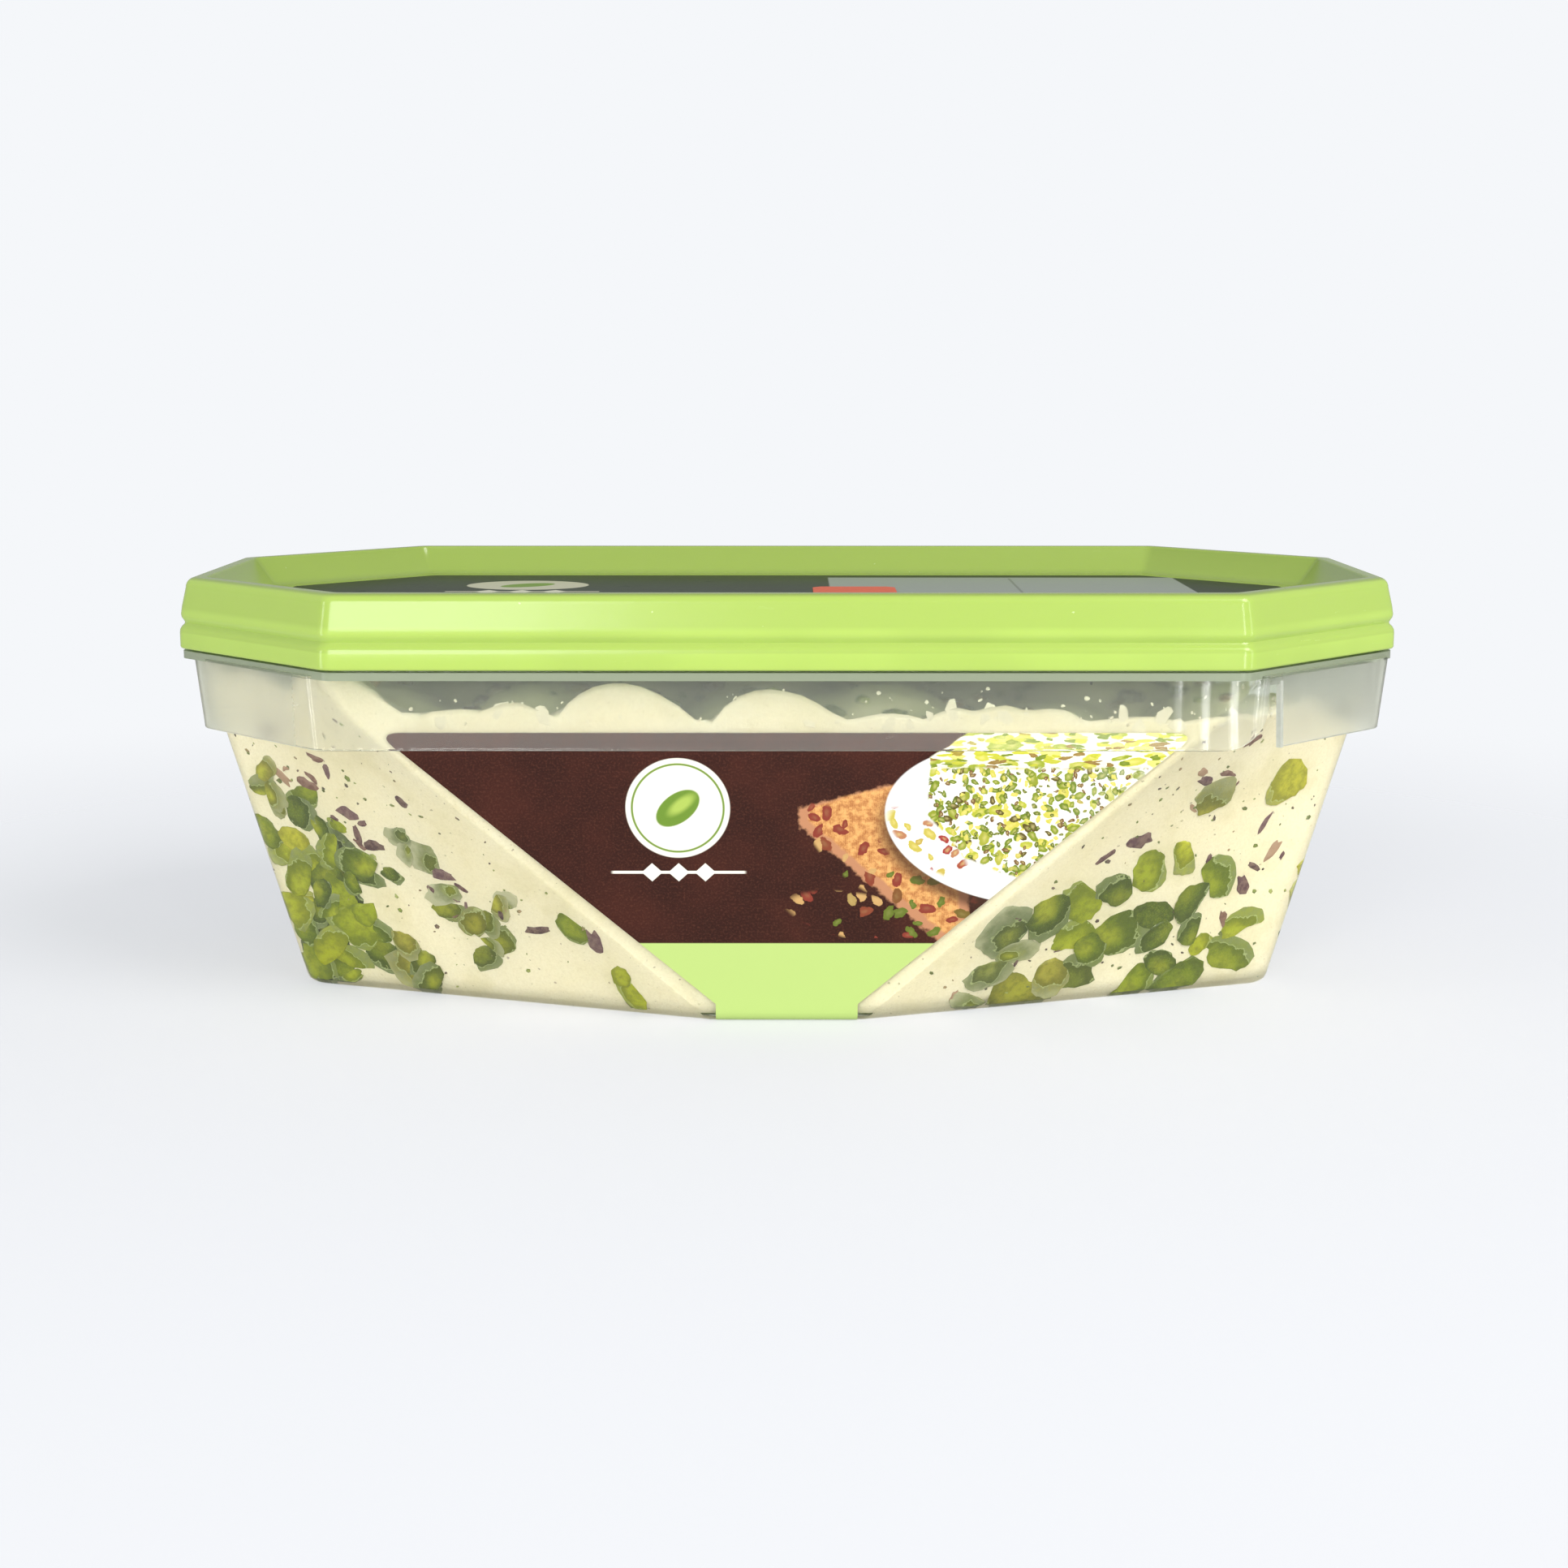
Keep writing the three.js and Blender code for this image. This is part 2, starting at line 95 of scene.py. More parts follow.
class TubSizes(bpy.types.PropertyGroup):
    """The clear tub, with its flange, upstand and hanging collar."""

    wall: length("Wall", "Thickness of the wall, measured level", 0.9)
    floor: length("Floor", "Thickness of the floor", 1.2)
    foot_length: length("Foot length", "Length of the foot", 140.6)
    foot_depth: length("Foot depth", "Depth of the foot", 60.4)
    foot_front: length("Foot front", "Length of the foot's short front edge", 21.4)
    foot_end: length("Foot end", "Length of the foot's end edges", 19.8)
    foot_edge: length("Foot edge", "Rounding where the walls meet the foot", 1.3)
    knee: length("Knee", "Height where the wall turns nearly upright", 43)
    knee_length: length("Knee length", "Length of the tub at the knee", 162)
    knee_depth: length("Knee depth", "Depth of the tub at the knee", 75)
    knee_front: length("Knee front", "Length of the front edge at the knee", 114.8)
    knee_end: length("Knee end", "Length of the end edges at the knee", 31.4)
    neck: length("Neck", "Height of the flange's underside", 49.05)
    neck_length: length("Neck length", "Length of the tub at the neck", 162)
    neck_depth: length("Neck depth", "Depth of the tub at the neck", 76.4)
    neck_front: length("Neck front", "Length of the front edge at the neck", 124)
    neck_end: length("Neck end", "Length of the end edges at the neck", 33)
    upstand_inset: length("Upstand inset", "How far in the upstand stands from the lid's edge", 2.2)
    upstand_wall: length("Upstand wall", "Thickness of the upstand", 0.8)
    collar_foot: length("Collar foot", "Height of the collar's lower edge", 39.4)
    collar_wall: length("Collar wall", "Thickness of the collar", 0.75)
    collar_front: length("Collar front", "Length of the collar's front face", 125.6)
    collar_inset: length("Collar inset", "How far in the collar hangs from the lid's edge", 2.4)
    collar_taper: length("Collar taper", "How much further in the collar's lower edge is", 0.5)
    collar_corner: length("Collar corner", "How much each corner is cut off, along the ends", 20.5)
    collar_lean: length("Collar lean", "How far the ends lean in at the lower edge", 0.55)
    collar_flare: length("Collar flare", "How far the loose right section stands out", 1.2)
    slit: length("Slit", "Width of the tear slit in the collar", 1.6)
    slit_round: length("Slit corner", "Radius of the collar's big round corner beside the slit", 6.2)


class LidSizes(bpy.types.PropertyGroup):
    """The press-on lid, with its stepped rim and sunk panel."""

    cut: length("Corner cut", "How much each corner is cut off, along both sides", 24.7)
    step: length("Band step", "How far the upper band is set back", 0.9)
    band_top: length("Band top", "Height of the lower band's top", 54.9)
    wall: length("Lid wall", "Thickness of the skirt", 1.0)
    rim_round: length("Rim rounding", "Rounding of the rim's outer top edge", 1.4)
    rim_inner: length("Rim inner edge", "How far in the rim's flat top ends", 4.0)
    panel: length("Panel", "Height of the sunk panel", 56.1)
    panel_inset: length("Panel inset", "How far in the panel starts", 7.6)
    panel_wall: length("Panel thickness", "Thickness of the panel", 1.2)


class LabelSizes(bpy.types.PropertyGroup):
    """The wrap label, and the pocket that the lid label lies in."""

    foot: length("Foot width", "Width of the wrap label under the foot", 19.6)
    top: length("Top width", "Width of the wrap label at its top", 108.8)
    straight: length("Straight", "Height where the wrap label starts to widen", 2.6)
    corner: length("Corner", "Size of the wrap label's rounded top corners", 2)
    proud: length("Proud", "How far the wrap label stands out of the wall", 0.035)
    thickness: length("Thickness", "How far the wrap label reaches into the wall", 0.28)
    pocket_cut: length("Pocket corner cut", "How much each corner of the lid's pocket is cut off", 18.5)
    pocket_gap: length("Pocket gap", "Gap round the lid label", 0.08)
    pocket_floor: length("Pocket floor", "Gap under the lid label", 0.06)


class HalvaSizes(bpy.types.PropertyGroup):
    """The halva and what is in it."""

    bite: length("Bite", "How far the halva reaches into the clear wall", 0.12)
    nut_bite: length("Nut bite", "How far the nuts reach into the clear wall", 0.27)
    low: length("Lowest top", "No valley of the top is lower than this", 40.2)
    high: length("Highest top", "The side is measured up to this height", 49)
    seed: IntProperty(name="Seed", description="Sets where the loose nuts lie", default=7)


class Colours(bpy.types.PropertyGroup):
    """The colours of the pack and of its print."""

    halva: colour("Halva", "The cream halva", 235, 226, 197)
    lid: colour("Lid", "The lime green lid", 182, 210, 100)
    clear: colour("Clear plastic", "Tint of the clear tub", 246, 249, 248)
    brown: colour("Brown field", "The label's dark field", 50, 20, 12)
    band: colour("Green field", "The label's light green foot", 190, 216, 126)
    cream: colour("Cream print", "Cream parts of the print", 254, 250, 234)
    charcoal: colour("Lid label", "The lid label's dark field", 30, 38, 34)
    sticker: colour("Sticker", "The small sticker", 226, 84, 44)


class TubSettings(bpy.types.PropertyGroup):
    """Everything a user would change."""

    tub: PointerProperty(type=TubSizes)
    lid: PointerProperty(type=LidSizes)
    label: PointerProperty(type=LabelSizes)
    halva: PointerProperty(type=HalvaSizes)
    colours: PointerProperty(type=Colours)


def settings():
    """The settings of the scene."""
    return bpy.context.scene.halva_tub


# Outlines ------------------------------------------------------------------------------------------------
def octagon(half_length, half_depth, front_half, end_half):
    """Eight corners, anticlockwise from the right end of the front edge."""
    front_right = [(front_half, -half_depth), (half_length, -end_half)]
    right = front_right + [(x, -y) for x, y in reversed(front_right)]
    left = [(-x, y) for x, y in reversed(right)]
    return [Vector(point) for point in right + left]


def inset(corners, distance):
    """Moves every edge of a convex outline inwards by the same distance."""
    count = len(corners)
    edges = []
    for i, corner in enumerate(corners):
        along = (corners[(i + 1) % count] - corner).normalized()
        inwards = Vector((-along.y, along.x))
        edges.append((corner + inwards * distance, along))
    moved = []
    for i, (start, along) in enumerate(edges):
        before, before_along = edges[i - 1]
        travel = (start - before).cross(along) / before_along.cross(along)
        moved.append(before + before_along * travel)
    return moved


def corner_arcs(corners, front_radius, end_radius, steps):
    """One arc of points for each corner. The corners at the two ends have their own radius."""
    arcs = []
    for i, corner in enumerate(corners):
        radius = end_radius if i % 4 in (1, 2) else front_radius
        before = (corners[i - 1] - corner).normalized()
        after = (corners[(i + 1) % len(corners)] - corner).normalized()
        half = math.acos(max(-1.0, min(1.0, before.dot(after)))) / 2
        centre = corner + (before + after).normalized() * (radius / math.sin(half))
        start = corner + before * (radius / math.tan(half)) - centre
        sweep = math.pi - 2 * half
        arcs.append([centre + turned(start, sweep * k / steps) for k in range(steps + 1)])
    return arcs


def turned(vector, angle):
    """A flat vector turned anticlockwise."""
    return Matrix.Rotation(angle, 2) @ vector


# How many stretches the front, slanting and end edges of a ring are divided into, and each corner's arc.
PLAIN = {"edges": (1, 12, 1), "arc": 6}
FINE = {"edges": (56, 44, 16), "arc": 4}


def ring(corners, height, front_radius, end_radius=None, detail=PLAIN):
    """A ring of points at one height."""
    arcs = corner_arcs(corners, front_radius, end_radius or front_radius, detail["arc"])
    front, slant, end = detail["edges"]
    points = []
    for i, arc in enumerate(arcs):
        points += arc
        target = arcs[(i + 1) % len(arcs)][0]
        stretches = slant if i % 2 == 0 else (end if i % 4 == 1 else front)
        for k in range(1, stretches):
            points.append(arc[-1].lerp(target, k / stretches))
    return [Vector((p.x, p.y, height)) for p in points]


def mix(a, b, share):
    """The value a share of the way from a to b."""
    return a + (b - a) * share


def smooth_share(low, high, value):
    """0 at low and 1 at high, easing in and out."""
    share = max(0.0, min(1.0, (value - low) / (high - low)))
    return share * share * (3 - 2 * share)


# Where the tub's walls are -------------------------------------------------------------------------------
WALL_STEPS = 16
END_ROUND = 3 * MM
FOOT_CREASE, KNEE_CREASE = 0.8 * MM, 2.4 * MM
FLANGE_TOP = LID_LOW.z - 0.3 * MM
# The rounding from the foot up into the wall, from below: how far in, and how high.
FOOT_TURN = [(0.75 * MM, 0.1 * MM), (0.38 * MM, 0.38 * MM), (0.1 * MM, 0.75 * MM)]


def level_outline(sizes, level):
    """The tub's outline at its foot, its knee or its neck."""
    parts = ("length", "depth", "front", "end")
    return octagon(*(getattr(sizes, f"{level}_{part}") / 2 for part in parts))


class TubShape:
    """The tub's outline at each height."""

    def __init__(self):
        self.sizes = settings().tub
        self.foot, self.knee, self.neck = [
            level_outline(self.sizes, level) for level in ("foot", "knee", "neck")
        ]

    def wall_at(self, height):
        """The outside of the wall at a height."""
        s = self.sizes
        if height <= s.knee:
            pairs, share = zip(self.foot, self.knee), height / s.knee
        else:
            pairs, share = zip(self.knee, self.neck), (height - s.knee) / (s.neck - s.knee)
        return [low.lerp(high, min(share, 1.0)) for low, high in pairs]

    def crease_at(self, height):
        """The rounding of the long creases, which are sharp at the foot."""
        return mix(FOOT_CREASE, KNEE_CREASE, min(1.0, height / self.sizes.knee))

    def wall_ring(self, height, distance, detail=PLAIN):
        """A ring on the tapered wall, some way in from its outside."""
        outline = inset(self.wall_at(height), distance)
        return ring(outline, height, self.crease_at(height), END_ROUND, detail)

    def wall_rings(self, low, high, distance):
        """Rings up the wall."""
        return [self.wall_ring(mix(low, high, k / WALL_STEPS), distance) for k in range(WALL_STEPS + 1)]

    def floor_rings(self, floor, distance, detail=PLAIN):
        """Two rings where a level floor turns up into the wall."""
        edge = self.sizes.foot_edge
        turn = edge * 0.3
        low, corner = [inset(self.wall_at(floor), distance + more) for more in (edge, turn)]
        return [
            ring(low, floor, FOOT_CREASE, END_ROUND - MM, detail),
            ring(corner, floor + turn, FOOT_CREASE, END_ROUND, detail),
        ]

    def room_rings(self):
        """Rings round the tub's inside, from the floor up to the mouth."""
        s = self.sizes
        mouth = inset(self.neck, s.wall)
        return [
            *self.floor_rings(s.floor, s.wall),
            *self.wall_rings(s.floor + s.foot_edge, s.knee, s.wall),
            *(ring(mouth, height, 2 * MM, END_ROUND - MM) for height in (s.neck, FLANGE_TOP)),
        ]

    def wall_line(self, edge, height):
        """A corner and the inward direction of one edge of the wall at a height."""
        corners = self.wall_at(max(0.0, height))
        start, stop = corners[edge % 8], corners[(edge + 1) % 8]
        along = (stop - start).normalized()
        return start, Vector((-along.y, along.x))


def lid_outline(distance):
    """The lid's outline, set in from its lower band."""
    size = LID_HIGH - LID_LOW
    cut = settings().lid.cut
    return inset(octagon(size.x / 2, size.y / 2, size.x / 2 - cut, size.y / 2 - cut), distance)


# Meshes --------------------------------------------------------------------------------------------------
def skin(rings, closed=False):
    """Points and faces over a list of rings. Its ends get flat caps, or meet if it is closed."""
    count = len(rings[0])
    points = [point for ring_points in rings for point in ring_points]
    faces = []
    for r in range(len(rings) if closed else len(rings) - 1):
        low, high = r * count, (r + 1) % len(rings) * count
        for k in range(count):
            after = (k + 1) % count
            faces.append((low + k, low + after, high + after, high + k))
    if not closed:
        last = (len(rings) - 1) * count
        faces.append(tuple(reversed(range(count))))
        faces.append(tuple(range(last, last + count)))
    return points, faces


def make_piece(name, points, faces, materials, replaces=None, sharp=30):
    """A mesh object that rides on the pack, with the materials it is given."""
    mesh = bpy.data.meshes.new(name)
    mesh.from_pydata(points, [], faces)
    mesh.validate()
    mesh.shade_smooth()
    if sharp:
        mesh.set_sharp_from_angle(angle=math.radians(sharp))
    for material in materials:
        mesh.materials.append(material)
    piece = bpy.data.objects.new(name, mesh)
    bpy.context.scene.collection.objects.link(piece)
    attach(piece, "root")
    if replaces:
        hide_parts(replaces)
    return piece


# Nodes ---------------------------------------------------------------------------------------------------
def put(tree, kind, inputs=None, **values):
    """Adds a node. Each input is given a socket to link from, or a value."""
    made = tree.nodes.new(kind)
    for name, value in values.items():
        setattr(made, name, value)
    for name, source in (inputs or {}).items():
        join(tree, source, made.inputs[name])
    return made


def join(tree, source, target):
    """Links a socket, or sets a value."""
    if isinstance(source, bpy.types.NodeSocket):
        tree.links.new(source, target)
    elif isinstance(source, (tuple, list)) and len(source) == 3 and target.type == "RGBA":
        target.default_value = (*source, 1.0)
    else:
        target.default_value = source


def calc(tree, operation, a, b=0.0, c=0.0):
    """A Math node's result."""
    return put(tree, "ShaderNodeMath", {0: a, 1: b, 2: c}, operation=operation).outputs[0]


def blend(tree, share, a, b, kind="MIX"):
    """The colour a share of the way from a to b."""
    made = put(tree, "ShaderNodeMix", {0: share, 6: a, 7: b}, data_type="RGBA", blend_type=kind)
    return made.outputs[2]


# The place of the Scale input, which has no name unless the node scales.
VECTOR_SCALE = 3


def vector_calc(tree, operation, a, b=(0.0, 0.0, 0.0), scale=1.0):
    """A Vector Math node's result: a number for a length or a dot product, or else a vector."""
    inputs = {0: a, 1: b, VECTOR_SCALE: scale}
    made = put(tree, "ShaderNodeVectorMath", inputs, operation=operation)
    return made.outputs["Value" if operation in ("LENGTH", "DOT_PRODUCT") else "Vector"]


def level_part(tree, vector):
    """A vector without its upward part."""
    return vector_calc(tree, "MULTIPLY", vector, (1.0, 1.0, 0.0))


def split_place(tree, place):
    """The three parts of a vector."""
    return put(tree, "ShaderNodeSeparateXYZ", {0: place}).outputs


def split_colour(tree, tint):
    """The three parts of a colour."""
    return put(tree, "ShaderNodeSeparateColor", {0: tint}).outputs


def ramp(tree, value, low, high, to_low=0.0, to_high=1.0, easing="SMOOTHSTEP"):
    """A value carried from one range to another."""
    inputs = {"Value": value, "From Min": low, "From Max": high, "To Min": to_low, "To Max": to_high}
    return put(tree, "ShaderNodeMapRange", inputs, interpolation_type=easing).outputs[0]


def coordinates(tree):
    """The place on the pack in millimetres."""
    return vector_calc(tree, "SCALE", put(tree, "ShaderNodeTexCoord").outputs["Object"], scale=1 / MM)


def cloud(tree, place, scale, detail=2.0, roughness=0.5, kind="Factor"):
    """A soft noise. Its scale is in cycles for each millimetre."""
    inputs = {"Vector": place, "Scale": scale, "Detail": detail, "Roughness": roughness}
    made = put(tree, "ShaderNodeTexNoise", inputs)
    return made.outputs[0 if kind == "Factor" else 1]


def cells(tree, place, scale, dimensions="3D"):
    """A cell pattern: its Voronoi node."""
    inputs = {"Vector": place, "Scale": scale}
    return put(tree, "ShaderNodeTexVoronoi", inputs, voronoi_dimensions=dimensions)


def bump(tree, height, depth, strength=1.0, normal=None):
    """A normal from a height between 0 and 1 that is worth a depth in millimetres."""
    inputs = {"Height": height, "Distance": depth * MM, "Strength": strength}
    if normal:
        inputs["Normal"] = normal
    return put(tree, "ShaderNodeBump", inputs).outputs[0]


def scaled(tint, share):
    """A colour made darker or lighter."""
    return tuple(part * share for part in tint)


def new_material(name):
    """An empty material: its tree, its shader and its output."""
    material = bpy.data.materials.new(name)
    material.use_nodes = True
    tree = material.node_tree
    tree.nodes.clear()
    shader = tree.nodes.new("ShaderNodeBsdfPrincipled")
    output = tree.nodes.new("ShaderNodeOutputMaterial")
    tree.links.new(shader.outputs[0], output.inputs[0])
    return material, tree, shader, output


def new_group(name, inputs, outputs):
    """A shader node group with named inputs and outputs: its tree, and its two end nodes."""
    tree = bpy.data.node_groups.new(name, "ShaderNodeTree")
    for label, kind, default in inputs:
        made = tree.interface.new_socket(label, in_out="INPUT", socket_type=kind)
        if default is not None:
            made.default_value = default
    for label, kind in outputs:
        tree.interface.new_socket(label, in_out="OUTPUT", socket_type=kind)
    return tree, tree.nodes.new("NodeGroupInput"), tree.nodes.new("NodeGroupOutput")


def use_group(tree, name, inputs):
    """Places a node group."""
    made = tree.nodes.new("ShaderNodeGroup")
    made.node_tree = bpy.data.node_groups[name]
    for label, source in inputs.items():
        join(tree, source, made.inputs[label])
    return made


def moulded_group():
    """Fine unevenness and small scuffs of moulded plastic."""
    inputs = [
        ("Place", "NodeSocketVector", None),
        ("Roughness", "NodeSocketFloat", 0.2),
        ("Scuffs", "NodeSocketFloat", 0.3),
        ("Waves", "NodeSocketFloat", 0.04),
    ]
    tree, given, result = new_group(
        "moulded_plastic", inputs, [("Roughness", "NodeSocketFloat"), ("Normal", "NodeSocketVector")]
    )
    place = given.outputs["Place"]
    waves = cloud(tree, place, 0.09, 2.0)
    grain = cloud(tree, place, 1.9, 3.0, 0.6)
    streaks = put(tree, "ShaderNodeMapping", {"Vector": place, "Scale": (0.08, 0.08, 2.2)})
    scratches = cloud(tree, streaks.outputs[0], 1.4, 4.0, 0.7)
    scuffs = ramp(tree, scratches, 0.58, 0.74)
    patches = ramp(tree, cloud(tree, place, 0.16, 3.0, 0.6), 0.45, 0.7)
    scuffed = calc(tree, "MULTIPLY", calc(tree, "MULTIPLY", scuffs, patches), given.outputs["Scuffs"])
    rough = calc(tree, "ADD", given.outputs["Roughness"], scuffed)
    rough = calc(tree, "MULTIPLY_ADD", grain, 0.06, rough)
    join(tree, calc(tree, "SUBTRACT", rough, 0.03), result.inputs["Roughness"])
    wave_normal = bump(tree, waves, 1.0, given.outputs["Waves"])
    join(tree, bump(tree, grain, 0.02, 0.35, wave_normal), result.inputs["Normal"])


def speckle_group():
    """Scattered small specks, as a mask and a random value for each."""
    inputs = [
        ("Place", "NodeSocketVector", None),
        ("Scale", "NodeSocketFloat", 1.0),
        ("Size", "NodeSocketFloat", 0.3),
        ("Share", "NodeSocketFloat", 0.3),
    ]
    outputs = [("Mask", "NodeSocketFloat"), ("Random", "NodeSocketFloat")]
    tree, given, result = new_group("speckles", inputs, outputs)
    wobble = cloud(tree, given.outputs["Place"], 1.7, 2.0, 0.6, "Color")
    place = vector_calc(tree, "ADD", given.outputs["Place"], vector_calc(tree, "SCALE", wobble, scale=0.7))
    pattern = cells(tree, place, given.outputs["Scale"])
    chance, girth, random_value = split_colour(tree, pattern.outputs["Color"])
    size = calc(tree, "MULTIPLY", given.outputs["Size"], ramp(tree, girth, 0, 1, 0.35, 1.2))
    inside = ramp(tree, pattern.outputs["Distance"], size, calc(tree, "MULTIPLY", size, 0.8))
    present = calc(tree, "LESS_THAN", chance, given.outputs["Share"])
    join(tree, calc(tree, "MULTIPLY", inside, present), result.inputs["Mask"])
    join(tree, random_value, result.inputs["Random"])


def moulded(tree, shader, place, roughness, scuffs, waves):
    """Gives a shader the roughness and the normal of moulded plastic."""
    inputs = {"Place": place, "Roughness": roughness, "Scuffs": scuffs, "Waves": waves}
    finish = use_group(tree, "moulded_plastic", inputs)
    for name in ("Roughness", "Normal"):
        join(tree, finish.outputs[name], shader.inputs[name])
    return finish


def specks(tree, place, tint, scale, size, share, strength, shade):
    """Lays faint specks of a shade over a tint: the new tint, and the specks' node."""
    marks = use_group(tree, "speckles", {"Place": place, "Scale": scale, "Size": size, "Share": share})
    return blend(tree, calc(tree, "MULTIPLY", marks.outputs["Mask"], strength), tint, shade), marks


def light_within(shader, weight, radius, depth):
    """Lets light go a little way into a material, a depth in millimetres."""
    shader.inputs["Subsurface Weight"].default_value = weight
    shader.inputs["Subsurface Radius"].default_value = radius
    shader.inputs["Subsurface Scale"].default_value = depth * MM


def let_lamps_through(tree, shader, output, tint):
    """Lets lamp light pass a clear piece, so that what is behind it is lit."""
    see_through = put(tree, "ShaderNodeBsdfTransparent", {0: tint})
    path = tree.nodes.new("ShaderNodeLightPath")
    both = tree.nodes.new("ShaderNodeMixShader")
    tree.links.new(path.outputs["Is Shadow Ray"], both.inputs[0])
    tree.links.new(shader.outputs[0], both.inputs[1])
    tree.links.new(see_through.outputs[0], both.inputs[2])
    tree.links.new(both.outputs[0], output.inputs[0])


# Materials -----------------------------------------------------------------------------------------------
def clear_plastic():
    """The tub's clear wall."""
    material, tree, shader, output = new_material("clear_plastic")
    moulded(tree, shader, coordinates(tree), 0.03, 0.12, 0.02)
    shader.inputs["Base Color"].default_value = (*settings().colours.clear, 1)
    shader.inputs["Transmission Weight"].default_value = 1.0
    shader.inputs["IOR"].default_value = 1.47
    let_lamps_through(tree, shader, output, (0.92, 0.92, 0.92))
    return material


def hazy_plastic():
    """The collar, which is slightly cloudy, with faint upright flutes near its front corners."""
    material, tree, shader, output = new_material("hazy_plastic")
    place = coordinates(tree)
    finish = moulded(tree, shader, place, 0.12, 0.2, 0.05)
    side = calc(tree, "ABSOLUTE", split_place(tree, place)[0])
    near_corner = calc(tree, "SUBTRACT", ramp(tree, side, 47, 53), ramp(tree, side, 60, 63))
    uneven = calc(tree, "MULTIPLY_ADD", cloud(tree, place, 0.06), 2.4, side)
    wave = calc(tree, "SINE", calc(tree, "MULTIPLY", uneven, 1.72))
    flutes = calc(tree, "MULTIPLY_ADD", calc(tree, "MULTIPLY", wave, near_corner), 0.5, 0.5)
    cloudy = ramp(tree, side, 63, 67, 0.0, 0.24)
    join(tree, calc(tree, "ADD", finish.outputs["Roughness"], cloudy), shader.inputs["Roughness"])
    join(tree, bump(tree, flutes, 0.14, 1.0, finish.outputs["Normal"]), shader.inputs["Normal"])
    shader.inputs["Base Color"].default_value = (*screen_colour(250, 251, 246), 1)
    shader.inputs["Transmission Weight"].default_value = 0.96
    shader.inputs["IOR"].default_value = 1.47
    let_lamps_through(tree, shader, output, (0.85, 0.85, 0.85))
    return material


def cut_edge_plastic():
    """The pale edge of the collar's tear slit, and the duller edge of the flange above it."""
    material, tree, shader, output = new_material("cut_edge")
    place = coordinates(tree)
    grain = cloud(tree, place, 1.6, 3.0)
    tint = blend(tree, grain, screen_colour(216, 218, 208), screen_colour(190, 194, 182))
    neck = settings().tub.neck / MM
    flange = ramp(tree, split_place(tree, place)[2], neck - 0.4, neck - 0.2)
    tint = blend(tree, flange, tint, screen_colour(166, 176, 150))
    join(tree, tint, shader.inputs["Base Color"])
    join(tree, bump(tree, grain, 0.05, 0.5), shader.inputs["Normal"])
    shader.inputs["Roughness"].default_value = 0.3
    shader.inputs["Transmission Weight"].default_value = 0.35
    let_lamps_through(tree, shader, output, (0.7, 0.7, 0.7))
    return material


def halva_finish():
    """Cream, dull and slightly oily, with fine grain, pores and specks of skin."""
    material, tree, shader, _ = new_material("halva")
    base = tuple(settings().colours.halva)
    place = coordinates(tree)
    broad = ramp(tree, cloud(tree, place, 0.07, 3.0, 0.55), 0.35, 0.65)
    warmer = tuple(part * share for part, share in zip(base, (0.965, 0.955, 0.9)))
    tint = blend(tree, broad, base, warmer)
    grain = cloud(tree, place, 2.6, 4.0, 0.65)
    tint = blend(tree, ramp(tree, grain, 0.35, 0.7, 0.0, 0.35), tint, screen_colour(214, 203, 168))
    stains = ramp(tree, cloud(tree, place, 0.14, 4.0, 0.6), 0.5, 0.68)
    stains = calc(tree, "MULTIPLY", stains, cloud(tree, place, 1.4, 4.0, 0.7))
    tint = blend(tree, calc(tree, "MULTIPLY", stains, 0.5), tint, screen_colour(206, 196, 152))
    dust = use_group(tree, "speckles", {"Place": place, "Scale": 0.9, "Size": 0.16, "Share": 0.22})
    shades = screen_colour(150, 150, 92), screen_colour(120, 92, 78)
    dust_tint = blend(tree, dust.outputs["Random"], *shades)
    tint = blend(tree, calc(tree, "MULTIPLY", dust.outputs["Mask"], 0.55), tint, dust_tint)
    tint, pores = specks(tree, place, tint, 1.7, 0.2, 0.3, 0.4, screen_colour(196, 186, 148))
    join(tree, tint, shader.inputs["Base Color"])
    join(tree, ramp(tree, grain, 0.3, 0.7, 0.42, 0.6), shader.inputs["Roughness"])
    relief = calc(tree, "SUBTRACT", grain, calc(tree, "MULTIPLY", pores.outputs["Mask"], 0.8))
    join(tree, bump(tree, relief, 0.12, 0.6), shader.inputs["Normal"])
    light_within(shader, 0.12, (1.0, 0.8, 0.5), 1.2)
    return material


